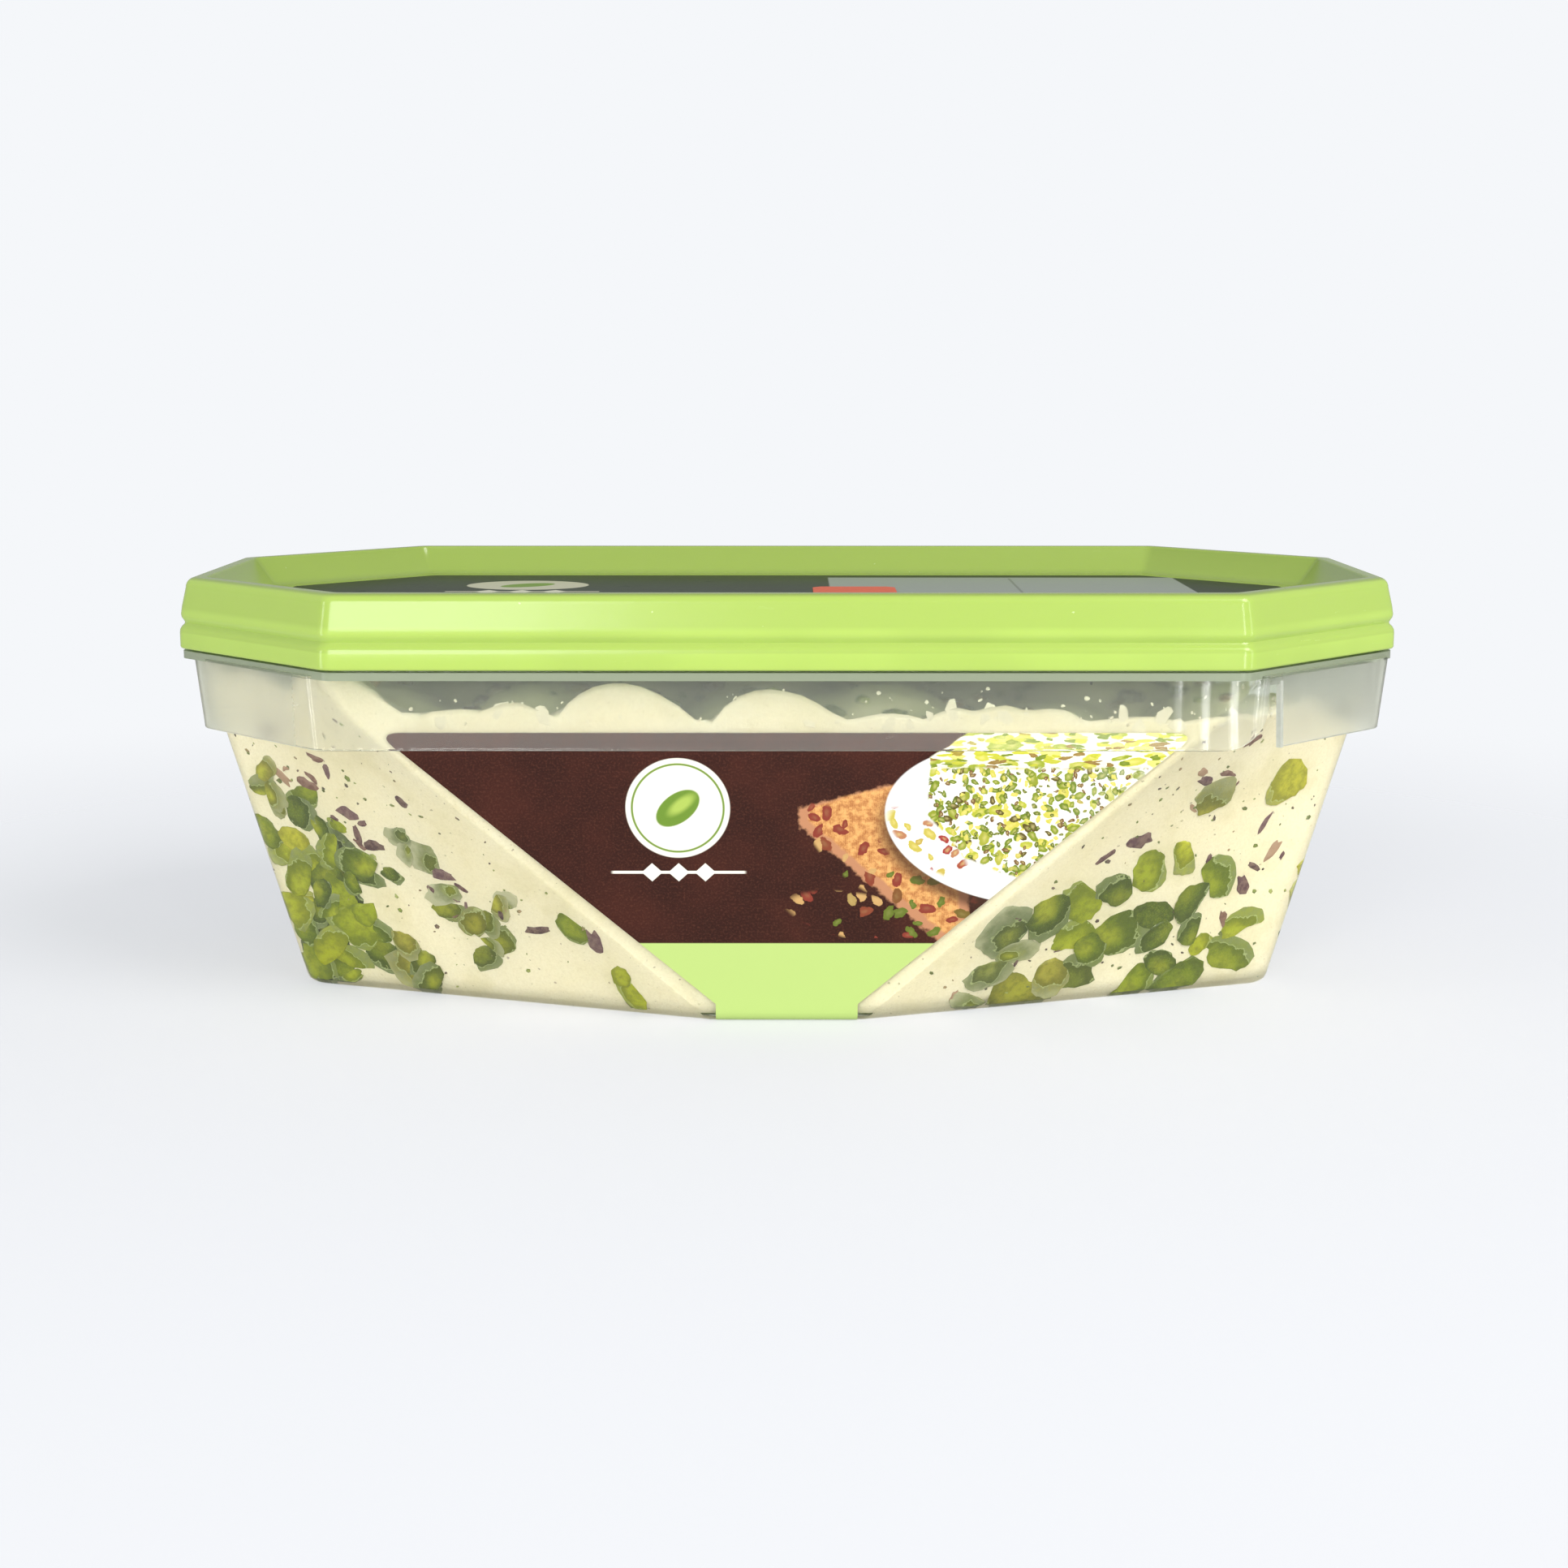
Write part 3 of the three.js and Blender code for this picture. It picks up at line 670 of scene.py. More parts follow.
def nut_finish():
    """Pistachio flesh: clean where it meets the wall, with painted shade darkening it towards one side of its
    edge, then a pale line, and dull under a film of paste.
    """
    material, tree, shader, _ = new_material("pistachio")
    place = coordinates(tree)
    own = put(tree, "ShaderNodeAttribute", attribute_name="tint").outputs["Color"]
    spot = put(tree, "ShaderNodeAttribute", attribute_name="spot").outputs["Vector"]
    film = split_place(tree, spot)[2]
    reach = vector_calc(tree, "LENGTH", level_part(tree, spot))
    ragged = calc(tree, "MULTIPLY_ADD", cloud(tree, place, 0.55, 3.0, 0.55), 1.0, -0.5)
    reach = calc(tree, "ADD", reach, ragged)
    limit = ramp(tree, film, 0, 1, 1.35, 0.35, "LINEAR")
    beyond = calc(tree, "SUBTRACT", reach, limit)
    mottle = cloud(tree, place, 0.8, 4.0, 0.62)
    fine = cloud(tree, place, 3.4, 3.0, 0.6)
    dark_mottle_and_edge_shade = blend(tree, 1.0, own, (0.46, 0.5, 0.3), "MULTIPLY")
    flesh = blend(tree, ramp(tree, mottle, 0.38, 0.72, 0.0, 0.75), own, dark_mottle_and_edge_shade)
    flesh = blend(tree, ramp(tree, fine, 0.45, 0.75, 0.0, 0.25), flesh, screen_colour(168, 168, 40))
    # Painted shade: the clean flesh darkens towards its edge, more on the side away from its shifted middle.
    flesh = blend(tree, ramp(tree, beyond, -0.65, -0.1, 0.0, 0.8), flesh, dark_mottle_and_edge_shade)
    dull = blend(tree, ramp(tree, mottle, 0.35, 0.65, 0.35, 0.7), own, screen_colour(118, 128, 86))
    veil = calc(tree, "MULTIPLY", ramp(tree, beyond, 0.05, 0.8, 0.1, 0.75), film)
    dull = blend(tree, veil, dull, screen_colour(196, 192, 158))
    tint = blend(tree, ramp(tree, beyond, -0.02, 0.03), flesh, dull)
    line = ramp(tree, calc(tree, "ABSOLUTE", beyond), 0.05, 0.01, 0.0, 0.45)
    tint = blend(tree, line, tint, screen_colour(196, 206, 146))
    join(tree, tint, shader.inputs["Base Color"])
    join(tree, ramp(tree, mottle, 0.3, 0.7, 0.3, 0.5), shader.inputs["Roughness"])
    join(tree, bump(tree, calc(tree, "ADD", mottle, fine), 0.14, 0.5), shader.inputs["Normal"])
    light_within(shader, 0.08, (1.0, 1.0, 0.3), 1.0)
    return material


def skin_finish():
    """Thin dry nut skin."""
    material, tree, shader, _ = new_material("nut_skin")
    place = coordinates(tree)
    own = put(tree, "ShaderNodeAttribute", attribute_name="tint").outputs["Color"]
    mottle = cloud(tree, place, 1.1, 4.0, 0.65)
    tint = blend(tree, ramp(tree, mottle, 0.35, 0.65), own, screen_colour(176, 150, 128))
    tint = blend(tree, 0.3, own, tint)
    join(tree, tint, shader.inputs["Base Color"])
    join(tree, bump(tree, mottle, 0.15, 0.6), shader.inputs["Normal"])
    shader.inputs["Roughness"].default_value = 0.6
    return material


def lid_finish():
    """Lime green moulded lid, a little translucent, with painted shade on faces that tilt up, on faces turned
    inwards and on the rim's top. The panel's underside is painted darker: painted shade, and the dark label
    showing through.
    """
    material, tree, shader, output = new_material("lid_plastic")
    place = coordinates(tree)
    base = tuple(settings().colours.lid)
    broad = cloud(tree, place, 0.05, 2.0)
    tint = blend(tree, ramp(tree, broad, 0.35, 0.65), base, scaled(base, 0.94))
    normal = put(tree, "ShaderNodeNewGeometry").outputs["Normal"]
    facing = split_place(tree, normal)[2]
    outwards = vector_calc(tree, "DOT_PRODUCT", normal, level_part(tree, place))
    # Painted shade: faces that tilt a little upwards, such as the upper band, are darkened.
    tint = blend(tree, ramp(tree, facing, 0.03, 0.2), tint, scaled(base, 0.87))
    # Painted shade: faces turned inwards, round the sunk panel, are darkened as if shaded by the rim.
    tint = blend(tree, ramp(tree, outwards, -4, -14), tint, scaled(base, 0.7))
    # Painted shade: faces that look straight up, such as the rim's top, are darkened.
    tint = blend(tree, ramp(tree, facing, 0.7, 0.95), tint, scaled(base, 0.62))
    height, panel = split_place(tree, place)[2], settings().lid.panel / MM
    # The panel's underside is painted grey-green: painted shade, and the dark label showing through the
    # plastic.
    shadowed = calc(tree, "LESS_THAN", facing, -0.8)
    for test, limit in (("GREATER_THAN", panel - 2.5), ("LESS_THAN", panel - 0.6)):
        shadowed = calc(tree, "MULTIPLY", calc(tree, test, height, limit), shadowed)
    tint = blend(tree, calc(tree, "MULTIPLY", shadowed, 0.9), tint, screen_colour(112, 132, 96))
    tint, _ = specks(tree, place, tint, 0.35, 0.07, 0.12, 0.4, (0.85, 0.95, 0.6))
    join(tree, tint, shader.inputs["Base Color"])
    moulded(tree, shader, place, 0.2, 0.16, 0.05)
    light_within(shader, 0.25, (0.8, 1.0, 0.3), 2.0)
    let_lamps_through(tree, shader, output, (0.42, 0.5, 0.28))
    return material


# Print: shapes drawn in millimetres on the label's face --------------------------------------------------
def level_place(tree):
    """The place on a level face, as x and y."""
    return level_part(tree, coordinates(tree))


def upright_place(tree):
    """The place on an upright face, as x and z, turned round on the back."""
    x, y, z = split_place(tree, coordinates(tree))
    side = calc(tree, "MULTIPLY", calc(tree, "SIGN", y), -1.0)
    return put(tree, "ShaderNodeCombineXYZ", {0: calc(tree, "MULTIPLY", x, side), 1: z}).outputs[0]


def wobbled(tree, place, scale, amount):
    """A place moved about a little, for hand-cut edges."""
    noise_colour = cloud(tree, place, scale, 3.0, 0.55, "Color")
    centred = vector_calc(tree, "SUBTRACT", noise_colour, (0.5, 0.5, 0.5))
    moved = vector_calc(tree, "SCALE", centred, scale=amount)
    return vector_calc(tree, "ADD", place, level_part(tree, moved))


def half_plane(tree, place, a, b, soft=0.12):
    """1 on the left of the line from a to b."""
    normal = Vector((a[1] - b[1], b[0] - a[0])).normalized()
    offset = normal.dot(Vector(a))
    reach = vector_calc(tree, "DOT_PRODUCT", place, (normal.x, normal.y, 0.0))
    return ramp(tree, reach, offset - soft, offset + soft)


def polygon(tree, place, corners, soft=0.12):
    """1 inside a convex shape whose corners run anticlockwise."""
    mask = None
    for a, b in zip(corners, corners[1:] + corners[:1]):
        side = half_plane(tree, place, a, b, soft)
        mask = side if mask is None else calc(tree, "MINIMUM", mask, side)
    return mask


def rectangle(tree, place, low, high, soft=0.1):
    """1 inside an upright rectangle, given by two opposite corners."""
    return polygon(tree, place, [low, (high[0], low[1]), high, (low[0], high[1])], soft)


def lozenge_row(tree, place, tint, middle, gap, half, shade, soft):
    """Lays a row of three lozenges over a tint."""
    y = middle[1]
    for x in (middle[0] - gap, middle[0], middle[0] + gap):
        corners = [(x - half[0], y), (x, y - half[1]), (x + half[0], y), (x, y + half[1])]
        tint = blend(tree, polygon(tree, place, corners, soft), tint, shade)
    return tint


def oval(tree, place, centre, size, angle=0.0, soft=0.1):
    """1 inside an ellipse with the given half sizes."""
    inputs = {
        "Vector": place,
        "Location": (*centre, 0.0),
        "Rotation": (0.0, 0.0, math.radians(angle)),
        "Scale": (*size, 1.0),
    }
    turned_place = put(tree, "ShaderNodeMapping", inputs, vector_type="TEXTURE").outputs[0]
    edge = soft / min(size)
    return ramp(tree, vector_calc(tree, "LENGTH", turned_place), 1 + edge, 1 - edge)


def above(tree, place, height, soft=0.1):
    """1 above a height on the face."""
    return ramp(tree, split_place(tree, place)[1], height - soft, height + soft)


def between(tree, place, low, high, soft=0.1):
    """1 in a level stripe."""
    return calc(tree, "SUBTRACT", above(tree, place, low, soft), above(tree, place, high, soft))


def fleck_group():
    """Scattered long flecks, each turned its own way: a mask, a lit middle and a random kind for each."""
    inputs = [
        ("Place", "NodeSocketVector", None),
        ("Scale", "NodeSocketFloat", 1.0),
        ("Size", "NodeSocketFloat", 0.6),
        ("Share", "NodeSocketFloat", 0.8),
    ]
    outputs = [(name, "NodeSocketFloat") for name in ("Mask", "Lit", "Kind")]
    tree, given, result = new_group("flecks", inputs, outputs)
    place = wobbled(tree, given.outputs["Place"], 1.3, 0.7)
    pattern = cells(tree, place, given.outputs["Scale"], dimensions="2D")
    turn, girth, chance = split_colour(tree, pattern.outputs["Color"])
    away = vector_calc(tree, "SUBTRACT", place, pattern.outputs["Position"])
    inputs = {"Vector": away, "Angle": calc(tree, "MULTIPLY", turn, math.tau)}
    turned_away = put(tree, "ShaderNodeVectorRotate", inputs, rotation_type="Z_AXIS").outputs[0]
    reach = vector_calc(tree, "LENGTH", vector_calc(tree, "MULTIPLY", turned_away, (1.0, 1.8, 0.0)))
    size = calc(tree, "MULTIPLY", given.outputs["Size"], ramp(tree, girth, 0, 1, 0.6, 1.2))
    share = calc(tree, "DIVIDE", reach, size)
    present = calc(tree, "LESS_THAN", chance, given.outputs["Share"])
    join(tree, calc(tree, "MULTIPLY", ramp(tree, share, 1.05, 0.9), present), result.inputs["Mask"])
    join(tree, ramp(tree, share, 0.7, 0.0), result.inputs["Lit"])
    join(tree, calc(tree, "FRACT", calc(tree, "MULTIPLY", chance, 7.3)), result.inputs["Kind"])


HALVA_BLOCK = [(19, 38), (19, 30), (24, 24), (34, 20), (56, 30), (56, 43), (26, 43)]
CLOTH = [(3, 31), (3, 29), (23, 12), (24, 37)]
CLOTH_FRINGE = [(1.6, 31), (1.6, 28.6), (22.4, 10.6), (25, 10), (24, 37)]
# The ovals of nuts that lie on the cloth: centre, half sizes and turn in degrees.
CLOTH_NUTS = [((12, 15), (12, 3.4), -12), ((9, 25), (9, 3.5), -45), ((20, 18), (7, 4), -30)]
# Three screen colours for each layer of flecks: on the cloth, on the plate, and on the block's face and top.
DRIED_SHADES = [(142, 60, 46), (104, 118, 42), (206, 164, 104)]
PLATE_SHADES = [(168, 60, 56), (206, 190, 84), (190, 130, 92)]
FACE_SHADES = [
    [(186, 190, 60), (214, 206, 84), (150, 160, 50)],
    [(112, 134, 36), (136, 152, 44), (96, 84, 34)],
    [(96, 112, 30), (222, 212, 100), (120, 84, 50)],
]
TOP_SHADES = [
    [(206, 204, 80), (160, 172, 56), (232, 224, 120)],
    [(120, 140, 40), (196, 196, 60), (150, 120, 60)],
]


def print_flecks(tree, place, tint, region, scale, size, share, shades, glow=0.45):
    """Lays flecks in three shades over a region of the print."""
    marks = use_group(tree, "flecks", {"Place": place, "Scale": scale, "Size": size, "Share": share})
    first, second, third = [screen_colour(*shade) for shade in shades]
    shade = blend(tree, ramp(tree, marks.outputs["Kind"], 0.3, 0.4), first, second)
    shade = blend(tree, ramp(tree, marks.outputs["Kind"], 0.68, 0.74), shade, third)
    light = calc(tree, "MULTIPLY", marks.outputs["Lit"], glow)
    shade = blend(tree, light, shade, screen_colour(240, 226, 150))
    mask = calc(tree, "MULTIPLY", marks.outputs["Mask"], region)
    return blend(tree, mask, tint, shade)


def print_ground(tree, place, palette):
    """The brown speckled field and the light green foot below its thin line."""
    brown = tuple(palette.brown)
    mist = ramp(tree, cloud(tree, place, 0.11, 3.0), 0.35, 0.7)
    tint = blend(tree, mist, brown, scaled(brown, 1.7))
    grain = ramp(tree, cloud(tree, place, 3.2, 3.0, 0.7), 0.45, 0.75, 0.0, 0.4)
    tint = blend(tree, grain, tint, screen_colour(112, 66, 46))
    foot = calc(tree, "SUBTRACT", 1.0, above(tree, place, 11.6))
    return blend(tree, foot, tint, tuple(palette.band))


def print_cloth(tree, place, tint):
    """The orange cloth with its paler fringe."""
    cloth = polygon(tree, wobbled(tree, place, 0.35, 1.3), CLOTH, 0.3)
    fringe = polygon(tree, wobbled(tree, place, 1.2, 1.4), CLOTH_FRINGE, 0.3)
    above_foot = above(tree, place, 11.9)
    tint = blend(tree, calc(tree, "MULTIPLY", fringe, above_foot), tint, screen_colour(196, 138, 100))
    knit = ramp(tree, cloud(tree, place, 1.1, 4.0, 0.7), 0.35, 0.65)
    cloth_tint = blend(tree, knit, screen_colour(176, 104, 50), screen_colour(238, 176, 104))
    weave = put(tree, "ShaderNodeTexWave", {"Vector": place, "Scale": 1.6, "Distortion": 4.0}).outputs["Fac"]
    cloth_tint = blend(tree, calc(tree, "MULTIPLY", weave, 0.3), cloth_tint, screen_colour(246, 200, 136))
    return blend(tree, calc(tree, "MULTIPLY", cloth, above_foot), tint, cloth_tint)


def print_dish(tree, place, tint):
    """The cloth, the white plate, the block of halva on it and the nuts round it."""
    tint = print_cloth(tree, place, tint)
    for centre, size, turn in CLOTH_NUTS:
        patch = calc(tree, "MULTIPLY", oval(tree, place, centre, size, turn, 0.3), above(tree, place, 12.4))
        tint = print_flecks(tree, place, tint, patch, 0.42, 1.1, 0.75, DRIED_SHADES, 0.08)
    shade = oval(tree, place, (31, 26.6), (18.8, 10.8), -10, 0.9)
    tint = blend(tree, calc(tree, "MULTIPLY", shade, 0.8), tint, screen_colour(70, 44, 30))
    tint = blend(tree, oval(tree, place, (31, 28.5), (18, 11), -10), tint, screen_colour(246, 245, 240))
    well = calc(tree, "MULTIPLY", oval(tree, place, (31, 29), (14.6, 8.2), -10, 0.8), 0.5)
    tint = blend(tree, well, tint, screen_colour(222, 219, 208))
    block = polygon(tree, wobbled(tree, place, 0.5, 0.8), HALVA_BLOCK, 0.15)
    tint = blend(tree, block, tint, print_block(tree, place))
    front = oval(tree, place, (19, 26), (7, 2.6), -42, 0.3)
    return print_flecks(tree, place, tint, front, 0.5, 1.0, 0.85, PLATE_SHADES)


def print_block(tree, place):
    """The pictured halva: near white under dense flecks of nut, with a streaky top."""
    whites = screen_colour(255, 255, 246), screen_colour(238, 232, 206)
    face = blend(tree, cloud(tree, place, 0.6, 3.0), *whites)
    thin = ramp(tree, split_place(tree, place)[0], 36, 58, 1.0, 0.45)
    face = print_flecks(tree, place, face, thin, 0.48, 1.15, 0.8, FACE_SHADES[0])
    face = print_flecks(tree, place, face, thin, 0.7, 0.8, 0.75, FACE_SHADES[1])
    face = print_flecks(tree, place, face, 1.0, 1.15, 0.45, 0.6, FACE_SHADES[2])
    stretched = put(tree, "ShaderNodeMapping", {"Vector": place, "Scale": (0.45, 1.5, 1.0)}).outputs[0]
    creams = screen_colour(255, 255, 244), screen_colour(240, 234, 190)
    top = blend(tree, cloud(tree, stretched, 0.8, 3.0), *creams)
    top = print_flecks(tree, stretched, top, 1.0, 0.62, 1.0, 0.9, TOP_SHADES[0])
    top = print_flecks(tree, stretched, top, 1.0, 1.1, 0.6, 0.7, TOP_SHADES[1], 0.1)
    return blend(tree, above(tree, place, 36.6, 0.4), face, top)


KERNEL_TURN = 38
KERNEL_GREEN = screen_colour(112, 146, 52)


def print_badge(tree, place, tint, palette):
    """A plain cream disc with one leaf-like kernel, and a small ornament below it."""
    cream, centre, ornament = tuple(palette.cream), (-14.6, 31.0), (-14.6, 21.9)
    tint = blend(tree, oval(tree, place, centre, (7.0, 7.0)), tint, cream)
    outer, inner = [oval(tree, place, centre, (radius, radius), 0, 0.08) for radius in (6.3, 6.0)]
    tint = blend(tree, calc(tree, "SUBTRACT", outer, inner), tint, screen_colour(120, 150, 60))
    tint = blend(tree, oval(tree, place, centre, (3.4, 2.0), KERNEL_TURN), tint, KERNEL_GREEN)
    shine = oval(tree, place, (-14.1, 31.5), (2.0, 0.8), KERNEL_TURN, 0.4)
    tint = blend(tree, shine, tint, screen_colour(176, 200, 92))
    stripe = between(tree, place, 21.7, 22.1, 0.05)
    line = calc(tree, "MULTIPLY", stripe, oval(tree, place, ornament, (9.0, 3.0)))
    tint = blend(tree, line, tint, cream)
    return lozenge_row(tree, place, tint, ornament, 3.6, (1.4, 1.3), cream, 0.06)


def wrap_print():
    """The wrap label: its face carries the picture, and under the foot it is plain light green."""
    material, tree, shader, _ = new_material("wrap_film")
    palette = settings().colours
    place = upright_place(tree)
    tint = print_dish(tree, place, print_ground(tree, place, palette))
    tint = print_badge(tree, place, tint, palette)
    join(tree, tint, shader.inputs["Base Color"])
    moulded(tree, shader, coordinates(tree), 0.36, 0.12, 0.03)
    shader.inputs["Specular IOR Level"].default_value = 0.25
    return material


def lid_print():
    """The lid label: charcoal, with a plain cream disc and a bare grey panel."""
    material, tree, shader, _ = new_material("lid_film")
    charcoal, dull_cream = tuple(settings().colours.charcoal), screen_colour(196, 194, 170)
    place = level_place(tree)
    mist = ramp(tree, cloud(tree, place, 0.06, 3.0), 0.35, 0.7)
    tint = blend(tree, mist, charcoal, scaled(charcoal, 1.35))
    centre = (-39.7, 16.0)
    tint = blend(tree, oval(tree, place, centre, (9.3, 7.4)), tint, dull_cream)
    tint = blend(tree, oval(tree, place, centre, (4.6, 2.6), KERNEL_TURN), tint, KERNEL_GREEN)
    tint = blend(tree, rectangle(tree, place, (-51.0, 5.4), (-28.0, 6.4)), tint, dull_cream)
    row_shade = screen_colour(214, 212, 190)
    tint = lozenge_row(tree, place, tint, (-39.7, 5.9), 5.0, (2.0, 2.3), row_shade, 0.1)
    panel = rectangle(tree, place, (6.5, -6.0), (61.0, 29.0), 0.15)
    tint = blend(tree, panel, tint, screen_colour(150, 157, 150))
    waves = put(tree, "ShaderNodeTexWave", {"Vector": place, "Scale": 0.55}, bands_direction="Y")
    rows = ramp(tree, waves.outputs["Fac"], 0.75, 0.9)
    lines = calc(tree, "MULTIPLY", calc(tree, "MULTIPLY", rows, panel), 0.2)
    tint = blend(tree, lines, tint, screen_colour(96, 102, 96))
    divider = rectangle(tree, place, (34.8, -4.5), (35.2, 27.5), 0.05)
    tint = blend(tree, divider, tint, screen_colour(120, 126, 118))
    join(tree, tint, shader.inputs["Base Color"])
    moulded(tree, shader, coordinates(tree), 0.4, 0.14, 0.05)
    shader.inputs["Specular IOR Level"].default_value = 0.15
    return material


def sticker_finish():
    """The small orange-red sticker, bare."""
    material, tree, shader, _ = new_material("sticker_paper")
    place = coordinates(tree)
    base = tuple(settings().colours.sticker)
    fibre = ramp(tree, cloud(tree, place, 1.4, 3.0), 0.35, 0.7)
    join(tree, blend(tree, fibre, base, scaled(base, 0.88)), shader.inputs["Base Color"])
    join(tree, bump(tree, fibre, 0.02, 0.4), shader.inputs["Normal"])
    shader.inputs["Roughness"].default_value = 0.45
    return material


# Tub -----------------------------------------------------------------------------------------------------
def collar_outline(distance):
    """The collar's outline. Its loose section at the right end stands further out."""
    sizes = settings().tub
    half = (LID_HIGH - LID_LOW) / 2
    half_length, half_depth = half.x - sizes.collar_inset, half.y - sizes.collar_inset
    corners = octagon(half_length, half_depth, sizes.collar_front / 2, half_depth - sizes.collar_corner)
    for corner in corners[1:3]:
        corner.x += sizes.collar_flare
    return inset(corners, distance - sizes.collar_inset)


def tub_body_rings(shape):
    """Up the outside, over the flange and the upstand, and down the inside to the floor."""
    s = shape.sizes
    flange, upstand, upstand_inner = 0.4 * MM, s.upstand_inset, s.upstand_inset + s.upstand_wall

    def rim(height, distance):
        return ring(lid_outline(distance), height, KNEE_CREASE)

    return [
        ring(inset(shape.foot, s.foot_edge), 0, FOOT_CREASE, END_ROUND - MM),
        ring(inset(shape.wall_at(FOOT_TURN[0][1]), FOOT_TURN[0][0]), FOOT_TURN[0][1], FOOT_CREASE, END_ROUND),
        *(shape.wall_ring(height, distance) for distance, height in FOOT_TURN[1:]),
        *shape.wall_rings(s.foot_edge, s.knee, 0),
        ring(shape.neck, s.neck, 3 * MM, END_ROUND),
        rim(s.neck, flange),
        rim(FLANGE_TOP, flange),
        rim(FLANGE_TOP, upstand),
        rim(TUB_HIGH.z, upstand),
        rim(TUB_HIGH.z, upstand_inner),
        rim(FLANGE_TOP, upstand_inner),
        *reversed(shape.room_rings()),
    ]


def collar_rings(sizes):
    """The hanging collar, buried a little in the flange."""
    top, low, wall = sizes.collar_inset, sizes.collar_inset + sizes.collar_taper, sizes.collar_wall
    root, foot, radius = sizes.neck + 0.4 * MM, sizes.collar_foot, 2.2 * MM
    lean = 1 - sizes.collar_lean / TUB_HIGH.x

    def level(distance, height, stretch=1.0):
        corners = [Vector((corner.x * stretch, corner.y)) for corner in collar_outline(distance)]
        return ring(corners, height, radius)

    return [
        level(top + wall, root),
        level(low + wall, foot + 0.2 * MM, lean),
        level(low + wall * 0.75, foot, lean),
        level(low + wall * 0.25, foot, lean),
        level(low, foot + 0.2 * MM, lean),
        level(top, root),
    ]


def slit_left(sizes):
    """Where the tear slit's left side is along the tub."""
    return sizes.collar_front / 2 + 0.6 * MM


def slit_shape(sizes):
    """What is cut out of the collar: a slit, and a big round corner beside it."""
    left, steps = slit_left(sizes), 12
    top, low, radius = sizes.neck - 0.9 * MM, sizes.collar_foot - MM, sizes.slit_round
    outline = [(left - radius, low)]
    for k in range(steps + 1):
        angle = math.radians(-90 + 90 * k / steps)
        x = left - radius + radius * math.cos(angle)
        outline.append((x, sizes.collar_foot + radius + radius * math.sin(angle)))
    outline += [(left, top), (left + sizes.slit, top), (left + sizes.slit + 0.8 * MM, low)]
    behind_collar, before_collar = -33 * MM, -45 * MM
    return skin([[Vector((x, y, z)) for x, z in outline] for y in (behind_collar, before_collar)])


def slit_bead(sizes):
    """The thicker edge of the collar's loose section, along the slit."""
    left = slit_left(sizes) + sizes.slit
    face = collar_outline(2.6 * MM)
    start, along = face[0], (face[1] - face[0]).normalized()
    outwards = Vector((along.y, -along.x))
    corners = [(-0.3, -0.55), (0.3, -0.55), (0.3, 0.15), (-0.3, 0.15)]
    rings = []
    for height, lean in ((sizes.collar_foot + 0.15 * MM, 0.9 * MM), (sizes.neck - 0.5 * MM, 0.3 * MM)):
        middle = start + along * ((left + lean * 0.6 - start.x) / along.x)
        ring_points = [middle + along * a * MM + outwards * b * MM for a, b in corners]
        rings.append([Vector((point.x, point.y, height)) for point in ring_points])
    return skin(rings)


def combine(piece, points, faces, operation, material):
    """Joins a closed shape to a piece, or cuts it out, with its own material on the new faces."""
    mesh = bpy.data.meshes.new("tool")
    mesh.from_pydata(points, [], faces)
    mesh.materials.append(material)
    combine_mesh(piece, mesh, operation)


def combine_mesh(piece, mesh, operation):
    """Joins or cuts with a mesh, which is used up."""
    tidy = bmesh.new()
    tidy.from_mesh(mesh)
    bmesh.ops.recalc_face_normals(tidy, faces=tidy.faces)
    tidy.to_mesh(mesh)
    tidy.free()
    tool = bpy.data.objects.new("tool", mesh)
    bpy.context.scene.collection.objects.link(tool)
    boolean = piece.modifiers.new("combine", "BOOLEAN")
    boolean.operation, boolean.solver, boolean.object = operation, "EXACT", tool
    boolean.material_mode = "TRANSFER"
    graph = bpy.context.evaluated_depsgraph_get()
    result = bpy.data.meshes.new_from_object(piece.evaluated_get(graph))
    piece.modifiers.clear()
    old, piece.data = piece.data, result
    bpy.data.meshes.remove(old)
    bpy.data.objects.remove(tool)
    bpy.data.meshes.remove(mesh)
    if not piece.data.vertices:
        raise RuntimeError(f"nothing is left of {piece.name}")


def cut_collar(sizes, hazy, edge):
    """The collar's mesh, with its slit cut and the slit's bead joined on."""
    points, faces = skin(collar_rings(sizes), closed=True)
    mesh = bpy.data.meshes.new("collar")
    mesh.from_pydata(points, [], faces)
    mesh.materials.append(hazy)
    holder = bpy.data.objects.new("collar", mesh)
    bpy.context.scene.collection.objects.link(holder)
    combine(holder, *slit_shape(sizes), "DIFFERENCE", edge)
    combine(holder, *slit_bead(sizes), "UNION", edge)
    mesh = holder.data
    bpy.data.objects.remove(holder)
    return mesh


def build_tub():
    """The clear tub with its hazy collar and tear slit."""
    shape = TubShape()
    clear, hazy, edge = clear_plastic(), hazy_plastic(), cut_edge_plastic()
    points, faces = skin(tub_body_rings(shape))
    piece = make_piece("clear_tub", points, faces, [clear], "tub", sharp=0)
    combine_mesh(piece, cut_collar(shape.sizes, hazy, edge), "UNION")
    edge_slot = piece.data.materials.find(edge.name)
    for face in piece.data.polygons:
        if shape.sizes.neck - 0.1 * MM < face.center.z < LID_LOW.z:
            face.material_index = edge_slot
    piece.data.shade_smooth()
    piece.data.set_sharp_from_angle(angle=math.radians(32))


# Lid -----------------------------------------------------------------------------------------------------
def quarter(centre, radius, start, steps=5):
    """A quarter circle clockwise through the section, as inset and height."""
    angles = [math.radians(start - 90 * k / steps) for k in range(steps + 1)]
    return [(centre[0] + radius * math.cos(a), centre[1] + radius * math.sin(a)) for a in angles]


# The soft groove between the lid's two bands, in mm: how far in, and how high from the lower band's top.
LID_GROOVE = [
    (0.0, -2.3), (0.06, -1.8), (0.3, -1.4), (0.62, -1.1),
    (0.72, -0.85), (0.55, -0.5), (0.32, -0.15), (0.24, 0.3),
]


